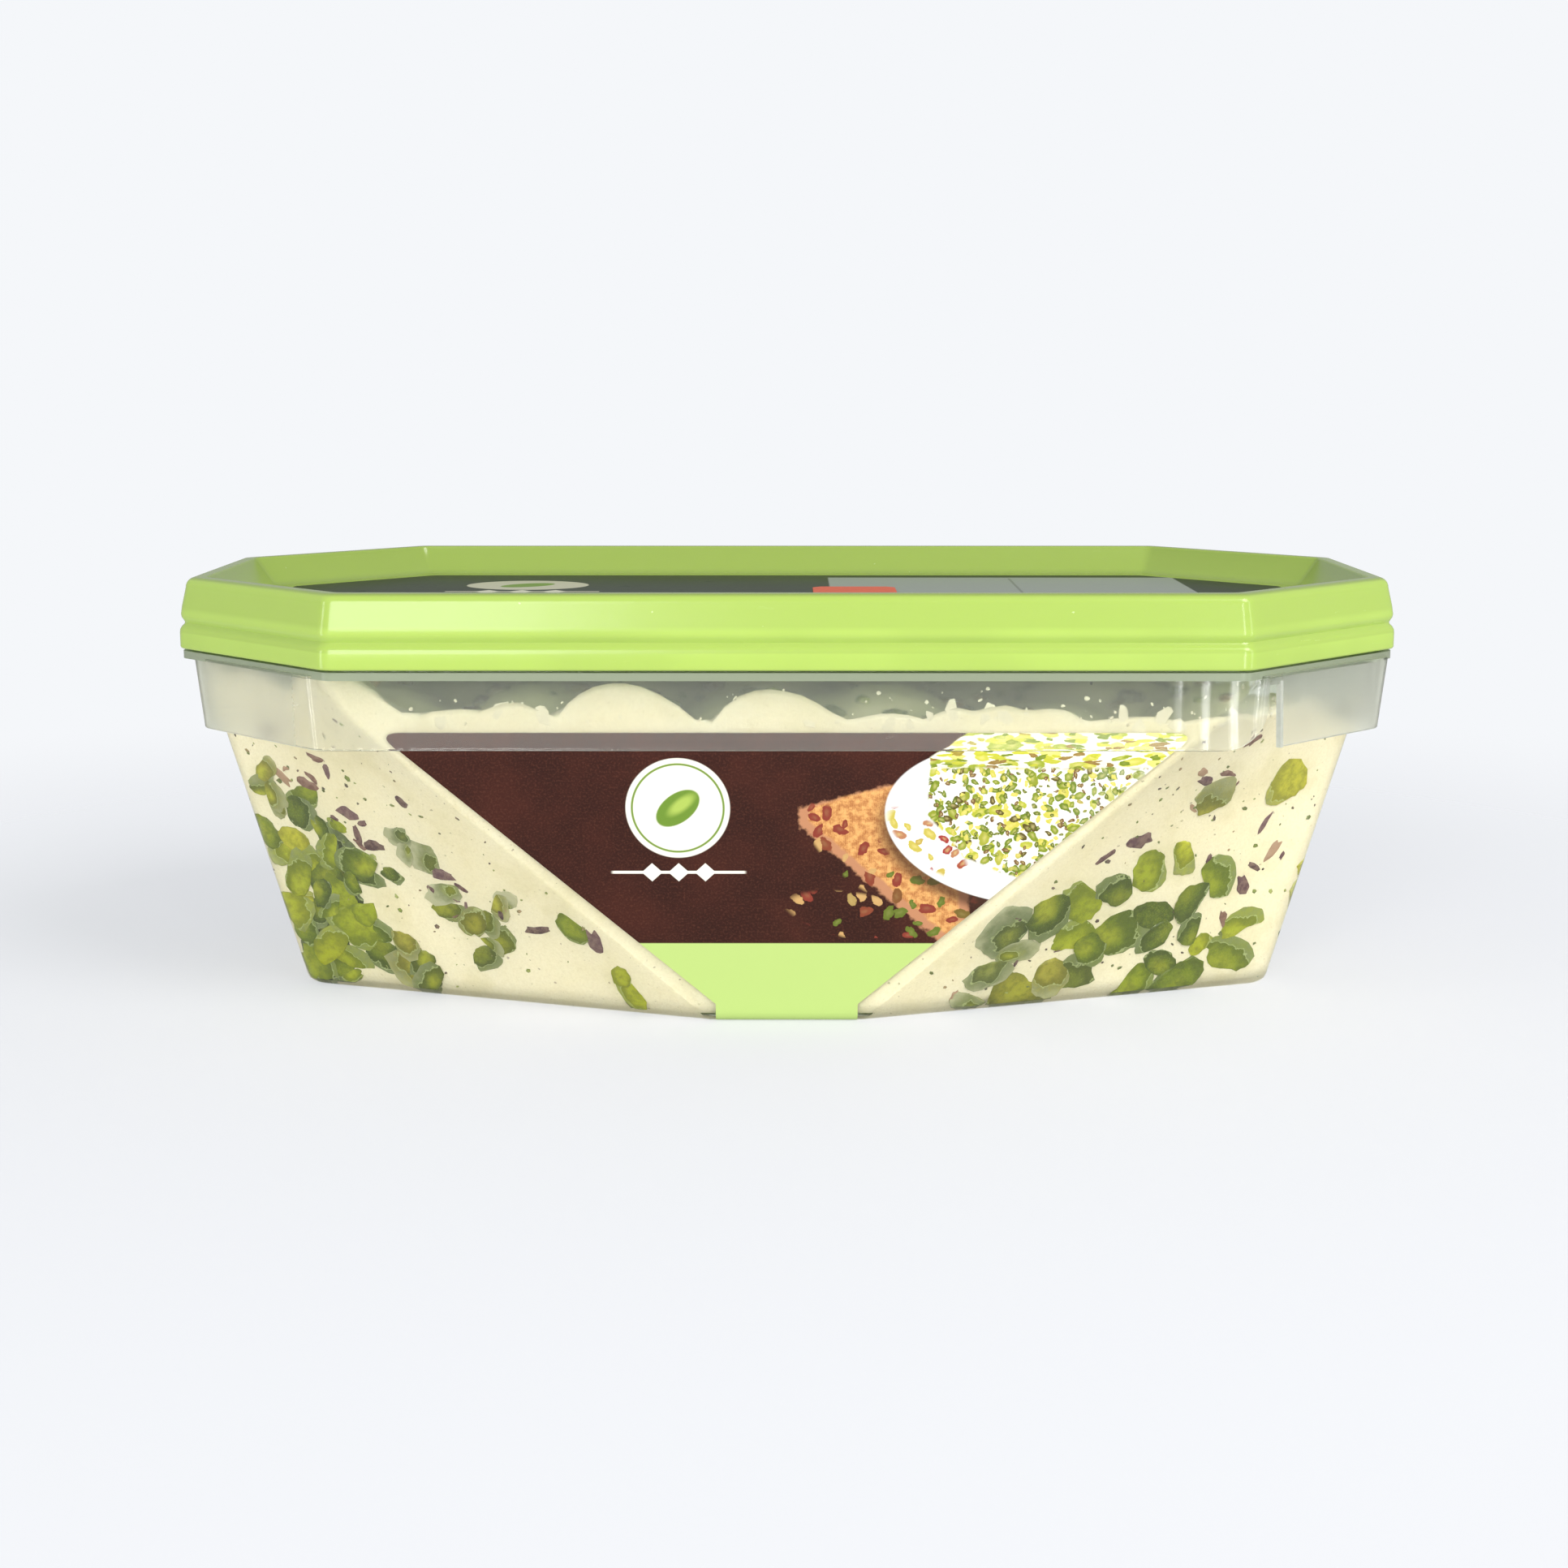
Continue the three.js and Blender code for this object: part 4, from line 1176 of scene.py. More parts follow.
def lid_section():
    """The lid's section as inset and height, from under its panel, round the rim, to its panel's top."""
    s = settings().lid
    top, foot, edge = LID_HIGH.z, LID_LOW.z, 0.35 * MM
    under, roof = s.panel - s.panel_wall, TUB_HIGH.z + 0.3 * MM
    inner_corner = s.rim_inner - 0.5 * MM
    return [
        (s.panel_inset - 0.4 * MM, under),
        (inner_corner, roof),
        (s.step + s.wall, roof),
        (s.step + s.wall, s.band_top - 0.3 * MM),
        (s.wall, s.band_top - 1.2 * MM),
        (s.wall, foot),
        *quarter((edge, foot + edge), edge, 270),
        *((distance * MM, s.band_top + rise * MM) for distance, rise in LID_GROOVE),
        (s.step * 0.45, s.band_top + 1.4 * MM),
        *quarter((s.step + 0.1 * MM + s.rim_round, top - s.rim_round), s.rim_round, 180, 7),
        *quarter((inner_corner, top - edge), edge, 90),
        (s.panel_inset - 1.5 * MM, s.panel + MM),
        (s.panel_inset - 0.9 * MM, s.panel + 0.3 * MM),
        (s.panel_inset, s.panel),
    ]


def build_lid():
    """The green lid, with a shallow pocket for its label."""
    rings = [
        ring(lid_outline(distance), height, max(1.0, 2.8 - distance / MM * 0.2) * MM)
        for distance, height in lid_section()
    ]
    label = settings().label
    half = (LID_LABEL_HIGH - LID_LABEL_LOW) / 2 + Vector((1, 1, 0)) * label.pocket_gap
    pocket = octagon(half.x, half.y, half.x - label.pocket_cut, half.y - label.pocket_cut)
    for height in (settings().lid.panel, LID_LABEL_LOW.z - label.pocket_floor):
        rings.append(ring(pocket, height, 1.5 * MM))
    points, faces = skin(rings)
    make_piece("green_lid", points, faces, [lid_finish()], "lid", sharp=34)


# Labels --------------------------------------------------------------------------------------------------
def label_rows():
    """The wrap label's outline up one side, as half width and height."""
    sizes, top = settings().label, LABEL_HIGH.z
    corner, straight, foot_half, top_half = sizes.corner, sizes.straight, sizes.foot / 2, sizes.top / 2
    straight_steps, corner_steps = 12, 7

    def half_width(height):
        return mix(foot_half, top_half, max(0.0, height - straight) / (top - straight))

    rows = [(half_width(z * MM), z * MM) for z in (1.3, 1.9, 2.6)]
    for k in range(1, straight_steps + 1):
        z = mix(straight, top - corner, k / straight_steps)
        rows.append((half_width(z), z))
    start, over = half_width(top - corner), top_half - corner * 1.6
    for k in range(1, corner_steps + 1):
        t = k / corner_steps
        width = (1 - t) ** 2 * start + 2 * t * (1 - t) * top_half + t * t * over
        rows.append((width, mix(top - corner, top, 1 - (1 - t) ** 2)))
    return rows


def build_wrap_label():
    """The printed label down the front, under the foot and up the back, in one strip."""
    shape, sizes = TubShape(), settings().label
    foot_half = sizes.foot / 2

    def wall_depth(height):
        return -shape.wall_at(height)[0].y

    side = [(width, wall_depth(z), z, Vector((-1, 0.17)).normalized()) for width, z in label_rows()]
    inwards_down = (Vector((-0.93, 0.36)), Vector((-0.7, 0.7)), Vector((-0.36, 0.93)))
    corner = [
        (foot_half, wall_depth(z) - distance, z, inwards)
        for (distance, z), inwards in zip(reversed(FOOT_TURN), inwards_down)
    ]
    corner.append((foot_half, wall_depth(0) - shape.sizes.foot_edge, 0.0, Vector((0, 1))))
    half = list(reversed(side)) + corner
    rows = [(w, -y, z, Vector((-n.x, n.y))) for w, y, z, n in half]
    rows += [(w, y, z, n) for w, y, z, n in reversed(half)]
    rings = []
    for width, y, z, inwards in rows:
        out_y, out_z = y - inwards.x * sizes.proud, z - inwards.y * sizes.proud
        in_y, in_z = y + inwards.x * sizes.thickness, z + inwards.y * sizes.thickness
        rings.append([
            Vector((-width, out_y, out_z)), Vector((width, out_y, out_z)),
            Vector((width, in_y, in_z)), Vector((-width, in_y, in_z)),
        ])
    points, faces = skin(rings)
    make_piece("wrap_print", points, faces, [wrap_print()], "wrap_label")


def dress(node, material):
    """Gives a carried-over part its finish."""
    slots = bpy.data.objects[node].material_slots
    if not slots:
        raise RuntimeError(f"{node} has no material slot")
    for slot in slots:
        slot.material = material


# Halva ---------------------------------------------------------------------------------------------------
# The poured folds against the front wall: centre, crest, and half width on its left and on its right.
FRONT_FOLDS = [
    (-60, 50.4, 8, 7.5), (-45, 44.7, 12, 12), (-36, 45.7, 10, 6), (-22, 48.3, 10, 10), (-3, 47.5, 8, 12),
    (14, 44.2, 14, 12), (23, 45, 7, 7), (29, 45.3, 7, 7), (35, 45, 7, 9),
    (48, 43.8, 18, 16), (62, 44, 18, 14),
]
# Folds at the far ends: place along and across, crest, and the two half widths.
END_FOLDS = [(-72, -24, 48.6, 14, 14), (-82, -10, 50.4, 20, 18), (-80, 12, 49.0, 20, 20)]
FOLD_ROWS = (-18, 1, 19, 36)
FRONT_FOLD_Y = -36
FOLD_DEPTH, FOLD_SINK = 14, 5.5
SIDE_LEVELS, SIDE_STEPS, TOP_STEPS = 47, 50, 40


def folds():
    """Every fold: the front row, and rows behind it that repeat, shifted and levelled."""
    found = [(x, FRONT_FOLD_Y, crest, left, right) for x, crest, left, right in FRONT_FOLDS] + END_FOLDS
    for row, y in enumerate(FOLD_ROWS, 1):
        for k, x in enumerate(range(-64, 72, 17)):
            shift = 8 * math.sin(row * 2.3 + k * 1.7)
            crest = 45.6 + 1.7 * math.sin(row * 1.9 + k * 2.6)
            found.append((x + shift, y, crest, 12, 12))
    return found


def halva_top(x, y, all_folds):
    """The height of the halva's top, in metres."""
    x, y = x / MM, y / MM
    height = settings().halva.low / MM
    for fold_x, fold_y, crest, left, right in all_folds:
        half = left if x < fold_x else right
        away = ((x - fold_x) / half) ** 2 + ((y - fold_y) / FOLD_DEPTH) ** 2
        height = max(height, crest - FOLD_SINK * away)
    grain = noise.fractal(Vector((x, y, 0)) * 0.35, 1.0, 2.0, 4)
    return (height + 0.25 * grain) * MM


def side_point(levels, column, height):
    """The point of a column of the halva's side at a height."""
    first, step = levels[0][0].z, levels[1][0].z - levels[0][0].z
    place = max(0.0, min(len(levels) - 1.001, (height - first) / step))
    k = int(place)
    return levels[k][column].lerp(levels[k + 1][column], place - k)


def build_halva():
    """The halva: pressed into the clear wall all round, with a poured, folded top."""
    shape, sizes = TubShape(), settings().halva
    distance = shape.sizes.wall - sizes.bite
    floor = shape.sizes.floor - sizes.bite
    low, all_folds = floor + shape.sizes.foot_edge, folds()
    levels = [
        shape.wall_ring(mix(low, sizes.high, k / SIDE_LEVELS), distance, FINE) for k in range(SIDE_LEVELS + 1)
    ]
    columns = range(len(levels[0]))
    rim = levels[-4]
    tops = [halva_top(rim[c].x, rim[c].y, all_folds) for c in columns]
    rings = shape.floor_rings(floor, distance, FINE)
    for k in range(SIDE_STEPS + 1):
        rings.append([side_point(levels, c, mix(low, tops[c], k / SIDE_STEPS)) for c in columns])
    edge = rings[-1]
    for k in range(1, TOP_STEPS + 1):
        share = k / TOP_STEPS
        inner = []
        for point in edge:
            x, y = point.x * (1 - share * 0.3), point.y * (1 - share)
            sag = 0.5 * MM * smooth_share(0, 0.05, share)
            inner.append(Vector((x, y, halva_top(x, y, all_folds) - sag)))
        rings.append(inner)
    points, faces = skin(rings)
    piece = make_piece("halva_body", points, faces[:-1], [halva_finish()], "halva", sharp=0)
    weld = bmesh.new()
    weld.from_mesh(piece.data)
    bmesh.ops.remove_doubles(weld, verts=weld.verts, dist=0.004 * MM)
    bmesh.ops.recalc_face_normals(weld, faces=weld.faces)
    weld.to_mesh(piece.data)
    weld.free()


# Nuts ----------------------------------------------------------------------------------------------------
# Screen colours of the nut pieces in each mood: what a piece is made of and how much paste films it.
MOODS = {
    "vivid": ([(124, 138, 0), (146, 156, 10), (106, 122, 2), (88, 104, 6)], 0.05),
    "bright": ([(160, 164, 8), (144, 152, 6), (184, 178, 40), (122, 134, 4)], 0.08),
    "olive": ([(120, 126, 16), (142, 138, 34), (100, 110, 22), (156, 148, 50)], 0.35),
    "filmed": ([(98, 110, 52), (86, 100, 46), (116, 124, 66), (112, 120, 34)], 0.75),
}
HEART = (196, 196, 44)
# The dark olive of the flat bit under crowded nuts: painted shade in the gaps between them.
GAP_SHADE = (62, 72, 6)
SKINS = [(72, 44, 46), (98, 68, 72), (112, 76, 64), (160, 128, 100), (84, 52, 56)]
CRUMBS = [(128, 142, 66), (160, 168, 96), (110, 118, 60), (172, 146, 112), (120, 96, 86), (96, 76, 70)]

# Patches of nuts, listed one by one: share along the wall, share up it, spread in mm, how many, and mood.
RIGHT_PATCHES = [
    (0.5, 0.7, 2, 2, "olive"), (0.8, 0.7, 2, 1, "bright"), (0.5, 0.5, 2, 2, "bright"),
    (0.7, 0.4, 3, 3, "vivid"), (0.4, 0.4, 4, 2, "vivid"), (0.3, 0.3, 3, 3, "vivid"),
    (0.5, 0.3, 5, 5, "vivid"), (0.8, 0.2, 4, 3, "bright"), (0.7, 0.1, 5, 7, "vivid"),
    (0.9, 0.1, 2, 3, "olive"), (0.1, 0.3, 2, 1, "filmed"), (0.2, 0.2, 3, 3, "filmed"),
    (0.2, 0.1, 5, 3, "filmed"), (0.4, 0.1, 5, 3, "olive"),
]
LEFT_PATCHES = [
    (0.1, 0.7, 3, 4, "olive"), (0.1, 0.5, 3, 5, "bright"), (0.3, 0.5, 4, 9, "vivid"),
    (0.2, 0.3, 4, 11, "vivid"), (0.1, 0.2, 4, 8, "bright"), (0.1, 0.1, 4, 8, "bright"),
    (0.3, 0.1, 5, 4, "olive"), (0.6, 0.5, 3, 4, "filmed"), (0.6, 0.3, 4, 7, "olive"),
    (0.8, 0.4, 1, 1, "filmed"), (0.9, 0.3, 1, 1, "vivid"), (0.9, 0.1, 2, 2, "bright"),
]
# Patches of skins: wall, share along it, share up it, spread in mm, and how many.
SKIN_PATCHES = [
    (6, 0.4, 0.6, 3, 7), (6, 0.6, 0.4, 5, 8), (6, 0.4, 0.8, 5, 3), (0, 0.5, 0.8, 5, 4), (0, 0.8, 0.3, 8, 2),
    (0, 0.2, 0.5, 5, 2),
]
RIGHT_WALL, LEFT_WALL, HIDDEN_WALLS = 0, 6, (1, 2, 4, 5)
# The smallest and largest nut in mm, and how far apart they lie as a share of their sizes together.
BIG_NUTS = {"size_range": (6.5, 12.5), "gap": 0.3}
SMALL_NUTS = {"size_range": (4.5, 9.0), "gap": 0.24}
# A patch with this many nuts gets one flat dark bit under them, painted shade in the gaps between the nuts,
# which reaches this far into the wall.
CROWDED = 8
GAP_SHADE_REACH = (0.54, 0.58)
TRIES_FOR_EACH = 14
WALL_CRUMBS, TOP_CRUMBS, SMEARS = 420, 150, 260
# The walls that crumbs and smears lie on. A wall that is listed more often gets more of them.
CRUMB_WALLS = (0, 0, 1, 2, 4, 5, 6, 6)
SMEAR_WALLS = (7, 7, 7, 0, 6, 3, 1, 5)


class Spot:
    """A place on a wall's inner face, with directions along it, up it and into the halva."""

    def __init__(self, shape, edge, share, height):
        def on_outside(level):
            corners = shape.wall_at(level)
            point = corners[edge % 8].lerp(corners[(edge + 1) % 8], share)
            return Vector((point.x, point.y, level))

        outside = on_outside(height)
        inwards = shape.wall_line(edge, height)[1]
        self.along = Vector((inwards.y, -inwards.x, 0))
        rise = on_outside(height + MM) - outside
        self.up = (rise - self.along * rise.dot(self.along)).normalized()
        self.inwards = self.up.cross(self.along)
        level_in = Vector((inwards.x, inwards.y, 0))
        self.place = outside + level_in * shape.sizes.wall
        self.edges = ((edge - 1) % 8, edge % 8, (edge + 1) % 8)


def lump(draw, level):
    """A rough chopped lump about 1 in radius: a wavy, bent ball with a few flat cuts."""
    ball = bmesh.new()
    bmesh.ops.create_icosphere(ball, subdivisions=level, radius=1)
    shift = Vector([draw.uniform(-50, 50) for _ in range(3)])
    bend, rough = draw.uniform(-0.3, 0.3), 0.2 if level > 2 else 0.5
    points = []
    for v in ball.verts:
        broad, ripple = noise.noise(v.co * 0.9 + shift), noise.noise(v.co * 2.7 - shift)
        blocky = sum(abs(c) ** 2.6 for c in v.co) ** (1 / 2.6)
        p = v.co / blocky * (1 + 0.36 * broad + rough * ripple)
        points.append(Vector((p.x, p.y + bend * (p.x * p.x - 0.4), p.z)))
    for _ in range(draw.choice((0, 0, 1, 1, 2))):
        angle = draw.uniform(0, math.tau)
        across = Vector((math.cos(angle), math.sin(angle), draw.uniform(-0.3, 0.3))).normalized()
        limit = draw.uniform(0.55, 0.9)
        points = [p - across * max(0.0, p.dot(across) - limit) * 0.75 for p in points]
    faces = [tuple(v.index for v in face.verts) for face in ball.faces]
    ball.free()
    return points, faces


def press(shape, point, edges, limit):
    """Pushes a point in from the clear wall and up from the floor."""
    for edge in edges:
        start, inwards = shape.wall_line(edge, min(point.z, shape.sizes.knee))
        short = limit - (Vector((point.x, point.y)) - start).dot(inwards)
        if short > 0:
            point = point + Vector((inwards.x, inwards.y, 0)) * short
    point.z = max(point.z, shape.sizes.floor - settings().halva.nut_bite)
    return point


class Heap:
    """Many small bits that become one mesh. Each point has a tint, and a spot: its place and its film."""

    def __init__(self):
        self.points, self.faces, self.tints, self.spots = [], [], [], []

    def add(self, points, faces, tints, spots):
        start = len(self.points)
        self.points += points
        self.faces += [tuple(start + k for k in face) for face in faces]
        self.tints += tints
        self.spots += spots

    def make(self, name, material, slot):
        piece = make_piece(name, self.points, self.faces, [material], sharp=40)
        layer = piece.data.attributes.new("tint", "FLOAT_COLOR", "POINT")
        layer.data.foreach_set("color", [value for tint in self.tints for value in (*tint, 1.0)])
        layer = piece.data.attributes.new("spot", "FLOAT_VECTOR", "POINT")
        layer.data.foreach_set("vector", [value for spot in self.spots for value in spot])


def add_bit(heap, shape, spot, half_sizes, turn, level, draw, tint, film, reach=(0.65, 1.35)):
    """Presses one bit against the wall. Each goes its own way into it, so bits can lie over each other."""
    points, faces = lump(draw, level)
    turned_along = spot.along * math.cos(turn) + spot.up * math.sin(turn)
    turned_up = spot.up * math.cos(turn) - spot.along * math.sin(turn)
    bite = settings().halva.nut_bite
    limit = shape.sizes.wall - draw.uniform(bite * reach[0], bite * reach[1])
    clean, heart = Vector(screen_colour(*tint)), Vector(screen_colour(*HEART))
    lean = Vector((draw.uniform(-0.7, 0.7), draw.uniform(-0.7, 0.7)))
    pale = draw.uniform(0.0, 0.6) if level > 2 else 0.0
    placed, tints, spots = [], [], []
    for p in points:
        away = (Vector((p.x, p.y)) - lean).length
        x, y, z = p.x * half_sizes[0], p.y * half_sizes[1], p.z * half_sizes[2]
        target = spot.place + turned_along * x + turned_up * y + spot.inwards * z
        placed.append(press(shape, target, spot.edges, limit))
        tints.append(clean.lerp(heart, pale * (1 - smooth_share(0.1, 0.8, away))))
        spots.append((p.x - lean.x, p.y - lean.y, film))
    heap.add(placed, faces, tints, spots)


def wall_length(shape, edge, height):
    """How long a wall is at a height."""
    corners = shape.wall_at(height)
    return (corners[(edge + 1) % 8] - corners[edge % 8]).length


def scatter(shape, edge, patch, draw, taken, size_range, gap=0.24):
    """Free places for bits in a patch, each with its size."""
    share, rise, spread, count, _ = patch
    knee = shape.sizes.knee
    found = []
    for _ in range(count * TRIES_FOR_EACH):
        if len(found) == count:
            break
        height = rise * knee + draw.gauss(0, spread * 0.6) * MM
        size = draw.uniform(*size_range) * draw.uniform(0.75, 1.0)
        if not 1.6 * MM < height < knee:
            continue
        reach = share + draw.gauss(0, spread * 0.6) * MM / wall_length(shape, edge, height)
        if not 0.03 < reach < 0.97:
            continue
        spot = Spot(shape, edge, reach, height)
        if all((spot.place - other).length > (size + other_size) * gap * MM for other, other_size in taken):
            taken.append((spot.place.copy(), size))
            found.append((spot, size))
    return found


def nut_patches(draw):
    """Every patch of nuts with its wall: the chosen ones, and drawn ones on the hidden walls."""
    patches = [(RIGHT_WALL, patch) for patch in RIGHT_PATCHES]
    patches += [(LEFT_WALL, patch) for patch in LEFT_PATCHES]
    for edge in HIDDEN_WALLS:
        patch_count = 8 if edge % 2 == 0 else 4
        for _ in range(patch_count):
            place = (draw.uniform(0.1, 0.9), draw.uniform(0.08, 0.85))
            patches.append((edge, (*place, 6, draw.randint(2, 5), draw.choice(list(MOODS)))))
    return patches


def build_nuts():
    """Chopped pistachios, pressed against the walls."""
    shape = TubShape()
    draw = random.Random(settings().halva.seed)
    heap, taken = Heap(), []
    for edge, patch in nut_patches(draw):
        share, rise, spread, count, mood = patch
        tints, film = MOODS[mood]
        # A flat dark bit under a crowded patch: painted shade in the gaps between its nuts.
        if count >= CROWDED:
            gap_shade = Spot(shape, edge, share, rise * shape.sizes.knee)
            half = (spread * 1.25 * MM, spread * 0.8 * MM, 1.5 * MM)
            add_bit(heap, shape, gap_shade, half, draw.uniform(1.2, 1.6), 4, draw, GAP_SHADE, 0.0, GAP_SHADE_REACH)
        sizes = BIG_NUTS if edge == RIGHT_WALL else SMALL_NUTS
        for spot, size in scatter(shape, edge, patch, draw, taken, **sizes):
            narrow = draw.uniform(0.5, 0.92)
            half = (size / 2 * MM, size / 2 * narrow * MM, size / 2 * narrow * MM)
            spot.place += spot.inwards * draw.uniform(-0.1, 0.35) * half[2]
            shade = draw.choice(tints)
            film_here = min(1.0, max(0.0, film + draw.uniform(-0.15, 0.3)))
            add_bit(heap, shape, spot, half, draw.uniform(-1.4, 1.4), 3, draw, shade, film_here)
    heap.make("pistachio_pieces", nut_finish(), "halva")


def build_skins():
    """Thin purple and tan bits of nut skin."""
    shape = TubShape()
    draw = random.Random(settings().halva.seed + 1)
    heap, taken = Heap(), []
    patches = [(edge, (*place_and_count, None)) for edge, *place_and_count in SKIN_PATCHES]
    for edge in (*HIDDEN_WALLS, RIGHT_WALL, LEFT_WALL):
        for _ in range(4):
            patches.append((edge, (draw.uniform(0.1, 0.9), draw.uniform(0.1, 0.9), 7, 3, None)))
    for edge, patch in patches:
        for spot, size in scatter(shape, edge, patch, draw, taken, (1.2, 5.2)):
            half = (size / 2 * MM, size / 2 * draw.uniform(0.25, 0.65) * MM, 0.3 * MM)
            add_bit(heap, shape, spot, half, draw.uniform(-1.5, 1.5), 2, draw, draw.choice(SKINS), 0.1)
    heap.make("nut_skins", skin_finish(), "halva")


def top_spot(shape, x, y, all_folds):
    """A place just under the halva's top, with level directions."""
    spot = Spot(shape, RIGHT_WALL, 0.5, 20 * MM)
    spot.place = Vector((x, y, halva_top(x, y, all_folds) - 0.4 * MM))
    spot.along, spot.up, spot.inwards = Vector((1, 0, 0)), Vector((0, 1, 0)), Vector((0, 0, 1))
    return spot


def build_crumbs():
    """Small crumbs of nut and skin all over the walls and the top."""
    shape = TubShape()
    draw = random.Random(settings().halva.seed + 2)
    heap, all_folds = Heap(), folds()
    for _ in range(WALL_CRUMBS):
        edge = draw.choice(CRUMB_WALLS)
        spot = Spot(shape, edge, draw.uniform(0.03, 0.97), draw.uniform(1.6, 43) * MM)
        size = draw.uniform(0.3, 1.3) * draw.uniform(0.5, 1.0)
        half = (size / 2 * MM, size / 2 * draw.uniform(0.5, 1) * MM, 0.3 * MM)
        add_bit(heap, shape, spot, half, draw.uniform(-1.5, 1.5), 1, draw, draw.choice(CRUMBS), 0.15)
    for _ in range(TOP_CRUMBS):
        x, y = draw.uniform(-62, 62) * MM, draw.uniform(-30, 30) * MM
        spot = top_spot(shape, x, y, all_folds)
        size = draw.uniform(0.8, 4.5)
        half = (size / 2 * MM, size / 2 * 0.7 * MM, size / 2 * 0.5 * MM)
        add_bit(heap, shape, spot, half, draw.uniform(-1.5, 1.5), 2, draw, draw.choice(CRUMBS), 0.2)
    heap.make("nut_crumbs", nut_finish(), "halva")


def smear_finish():
    """Cream paste in a thin smear."""
    material, tree, shader, _ = new_material("paste_smear")
    place = coordinates(tree)
    base = tuple(settings().colours.halva)
    grain = cloud(tree, place, 1.5, 3.0)
    pale, dim = [tuple(c * share for c in base) for share in (0.95, 0.8)]
    join(tree, blend(tree, grain, pale, dim), shader.inputs["Base Color"])
    join(tree, bump(tree, grain, 0.05, 0.5), shader.inputs["Normal"])
    shader.inputs["Roughness"].default_value = 0.5
    return material


def build_smears():
    """Specks and smears of paste on the clear wall above the halva."""
    shape = TubShape()
    draw = random.Random(settings().halva.seed + 3)
    heap = Heap()
    for _ in range(SMEARS):
        edge = draw.choice(SMEAR_WALLS)
        height = draw.triangular(42, 49, 43) * MM
        spot = Spot(shape, edge, draw.uniform(0.02, 0.98), height)
        size = draw.uniform(0.15, 0.7)
        if height < 44.5 * MM and draw.random() < 0.3:
            size = draw.uniform(1.0, 3.2)
        half = (size / 2 * MM, size / 2 * draw.uniform(0.5, 1) * MM, 0.35 * MM)
        add_bit(heap, shape, spot, half, draw.uniform(-1.5, 1.5), 1, draw, (226, 220, 188), 0.0)
    heap.make("paste_smears", smear_finish(), "halva")


# Stage ---------------------------------------------------------------------------------------------------
def area_light(name, place, size, watts, tint=(1, 1, 1)):
    """A soft rectangular light that faces the tub's middle."""
    lamp = bpy.data.lights.new(name, "AREA")
    lamp.shape, lamp.size, lamp.size_y = "RECTANGLE", size[0], size[1]
    lamp.energy, lamp.color = watts, tint
    holder = bpy.data.objects.new(name, lamp)
    holder.location = place
    middle = Vector((0, 0, 0.03))
    holder.rotation_euler = (middle - Vector(place)).to_track_quat("-Z", "Y").to_euler()
    bpy.context.scene.collection.objects.link(holder)


def studio_world():
    """A pale backdrop for the camera, and dimmer light for everything else."""
    world = bpy.data.worlds.new("studio")
    world.use_nodes = True
    tree = world.node_tree
    tree.nodes.clear()
    path = tree.nodes.new("ShaderNodeLightPath")
    seen = put(tree, "ShaderNodeBackground", {0: screen_colour(245, 247, 250), 1: 1.0})
    glow = put(tree, "ShaderNodeBackground", {0: (0.95, 0.97, 1.0), 1: 0.5})
    both = put(
        tree, "ShaderNodeMixShader",
        {0: path.outputs["Is Camera Ray"], 1: glow.outputs[0], 2: seen.outputs[0]},
    )
    output = tree.nodes.new("ShaderNodeOutputWorld")
    through = put(tree, "ShaderNodeBackground", {0: (0.92, 0.96, 0.82), 1: 0.86})
    all_rays = put(
        tree, "ShaderNodeMixShader",
        {0: path.outputs["Is Transmission Ray"], 1: both.outputs[0], 2: through.outputs[0]},
    )
    tree.links.new(all_rays.outputs[0], output.inputs[0])
    bpy.context.scene.world = world


def floor_finish():
    """Pale floor that fades into the backdrop away from the tub."""
    material, tree, shader, _ = new_material("floor")
    reach = vector_calc(tree, "LENGTH", coordinates(tree))
    shader.inputs["Base Color"].default_value = (0.86, 0.87, 0.92, 1)
    shader.inputs["Roughness"].default_value = 0.7
    shader.inputs["Specular IOR Level"].default_value = 0.1
    join(tree, ramp(tree, reach, 100, 300, 0.5, 0.0), shader.inputs["Alpha"])
    return material


def build_floor():
    """A wide level floor, just under the tub's foot."""
    half, height = 1.2, -0.05 * MM
    mesh = bpy.data.meshes.new("floor")
    corners = [(-half, -half, 0), (half, -half, 0), (half, half, 0), (-half, half, 0)]
    mesh.from_pydata(corners, [], [(0, 1, 2, 3)])
    mesh.materials.append(floor_finish())
    floor = bpy.data.objects.new("floor", mesh)
    floor.location.z = height
    bpy.context.scene.collection.objects.link(floor)


def build_camera():
    """The camera, in front of the tub and a little above it, tilted down."""
    camera = bpy.data.cameras.new("camera")
    camera.lens, camera.sensor_width = 55, 36
    tilt, roll = 0.176, 0.0016
    holder = bpy.data.objects.new("camera", camera)
    holder.location = (0.00014, -0.3509, 0.0904)
    holder.rotation_euler = (math.pi / 2 - tilt, 0, roll)
    bpy.context.scene.collection.objects.link(holder)
    bpy.context.scene.camera = holder


# Each light's name, place, width and height in metres, and its watts.
LIGHTS = [
    ("front_left", (-0.3, -0.95, 0.35), (0.35, 0.6), 4.2),
    ("right_strip", (0.75, -0.4, 0.05), (0.08, 0.8), 0.9),
    ("front_right", (0.42, -0.9, 0.02), (0.045, 0.7), 1.9),
    ("left_strip", (-0.8, -0.35, 0.05), (0.1, 0.8), 1.6),
]


def build_stage():
    """The floor, the world, the lights and the camera."""
    build_floor()
    studio_world()
    area_light("key", (0.5, -0.5, 0.65), (0.4, 0.4), 4.2, (1, 0.98, 0.95))
    for light in LIGHTS:
        area_light(*light)
    build_camera()
    bpy.context.scene.view_settings.view_transform = "Standard"


# Operators -----------------------------------------------------------------------------------------------
class HALVA_OT_tub(bpy.types.Operator):
    """Make the clear tub"""

    bl_idname = "halva.tub"
    bl_label = "Clear tub"

    def execute(self, context):
        build_tub()
        return {"FINISHED"}


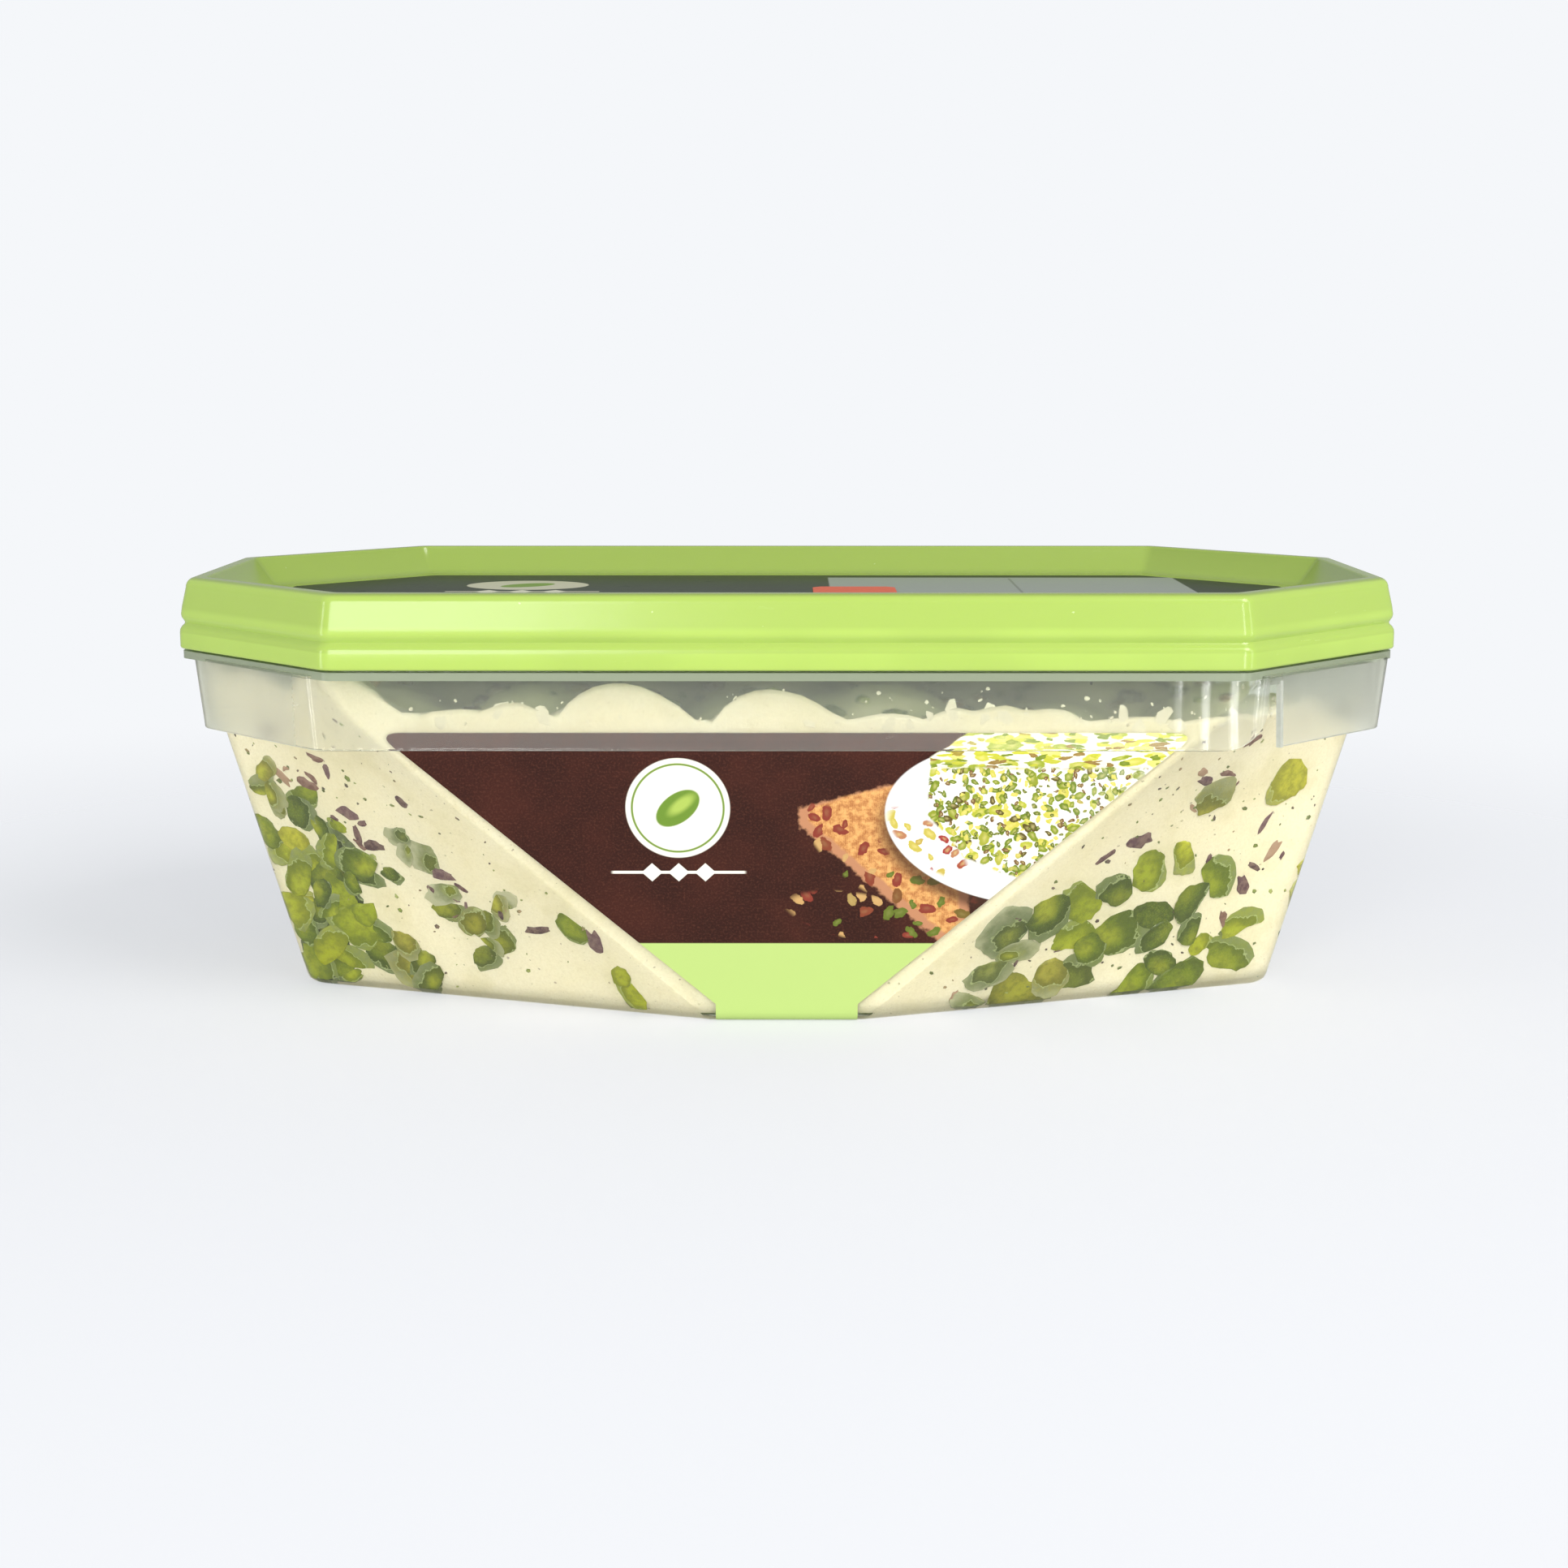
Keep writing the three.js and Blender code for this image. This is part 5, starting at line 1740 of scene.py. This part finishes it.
class HALVA_OT_lid(bpy.types.Operator):
    """Make the green lid"""

    bl_idname = "halva.lid"
    bl_label = "Green lid"

    def execute(self, context):
        build_lid()
        return {"FINISHED"}


class HALVA_OT_body(bpy.types.Operator):
    """Make the halva"""

    bl_idname = "halva.body"
    bl_label = "Halva"

    def execute(self, context):
        build_halva()
        return {"FINISHED"}


class HALVA_OT_nuts(bpy.types.Operator):
    """Make the pistachios, the skins, the crumbs and the smears of paste"""

    bl_idname = "halva.nuts"
    bl_label = "Pistachios"

    def execute(self, context):
        build_nuts()
        build_skins()
        build_crumbs()
        build_smears()
        return {"FINISHED"}


class HALVA_OT_labels(bpy.types.Operator):
    """Make the wrap label, and dress the lid label and the sticker"""

    bl_idname = "halva.labels"
    bl_label = "Labels"

    def execute(self, context):
        build_wrap_label()
        dress("lid_label", lid_print())
        dress("sticker", sticker_finish())
        return {"FINISHED"}


class HALVA_OT_stage(bpy.types.Operator):
    """Make the floor, the lights and the camera"""

    bl_idname = "halva.stage"
    bl_label = "Stage"

    def execute(self, context):
        build_stage()
        return {"FINISHED"}


OPERATORS = (HALVA_OT_tub, HALVA_OT_lid, HALVA_OT_body, HALVA_OT_nuts, HALVA_OT_labels, HALVA_OT_stage)


class HALVA_PT_panel(bpy.types.Panel):
    """The steps that make the tub"""

    bl_idname = "HALVA_PT_panel"
    bl_label = "Halva tub"
    bl_space_type = "VIEW_3D"
    bl_region_type = "UI"
    bl_category = "Halva tub"

    def draw(self, context):
        for operator in OPERATORS:
            self.layout.operator(operator.bl_idname)
        chosen = context.scene.halva_tub
        for group in (chosen.tub, chosen.lid, chosen.label, chosen.halva, chosen.colours):
            box = self.layout.box()
            for name in group.bl_rna.properties.keys():
                if name not in ("rna_type", "name"):
                    box.prop(group, name)


SIZES_AND_COLOURS = (TubSizes, LidSizes, LabelSizes, HalvaSizes, Colours, TubSettings)
CLASSES = (*SIZES_AND_COLOURS, *OPERATORS, HALVA_PT_panel)


def register():
    """Adds the classes and the settings."""
    for cls in CLASSES:
        bpy.utils.register_class(cls)
    bpy.types.Scene.halva_tub = PointerProperty(type=TubSettings)


def unregister():
    """Takes the classes and the settings away."""
    del bpy.types.Scene.halva_tub
    for cls in reversed(CLASSES):
        bpy.utils.unregister_class(cls)


def main():
    """Makes every piece in order."""
    register()
    moulded_group()
    speckle_group()
    fleck_group()
    bpy.ops.halva.tub()
    bpy.ops.halva.lid()
    bpy.ops.halva.body()
    bpy.ops.halva.nuts()
    bpy.ops.halva.labels()
    bpy.ops.halva.stage()


if __name__ == "__main__":
    main()
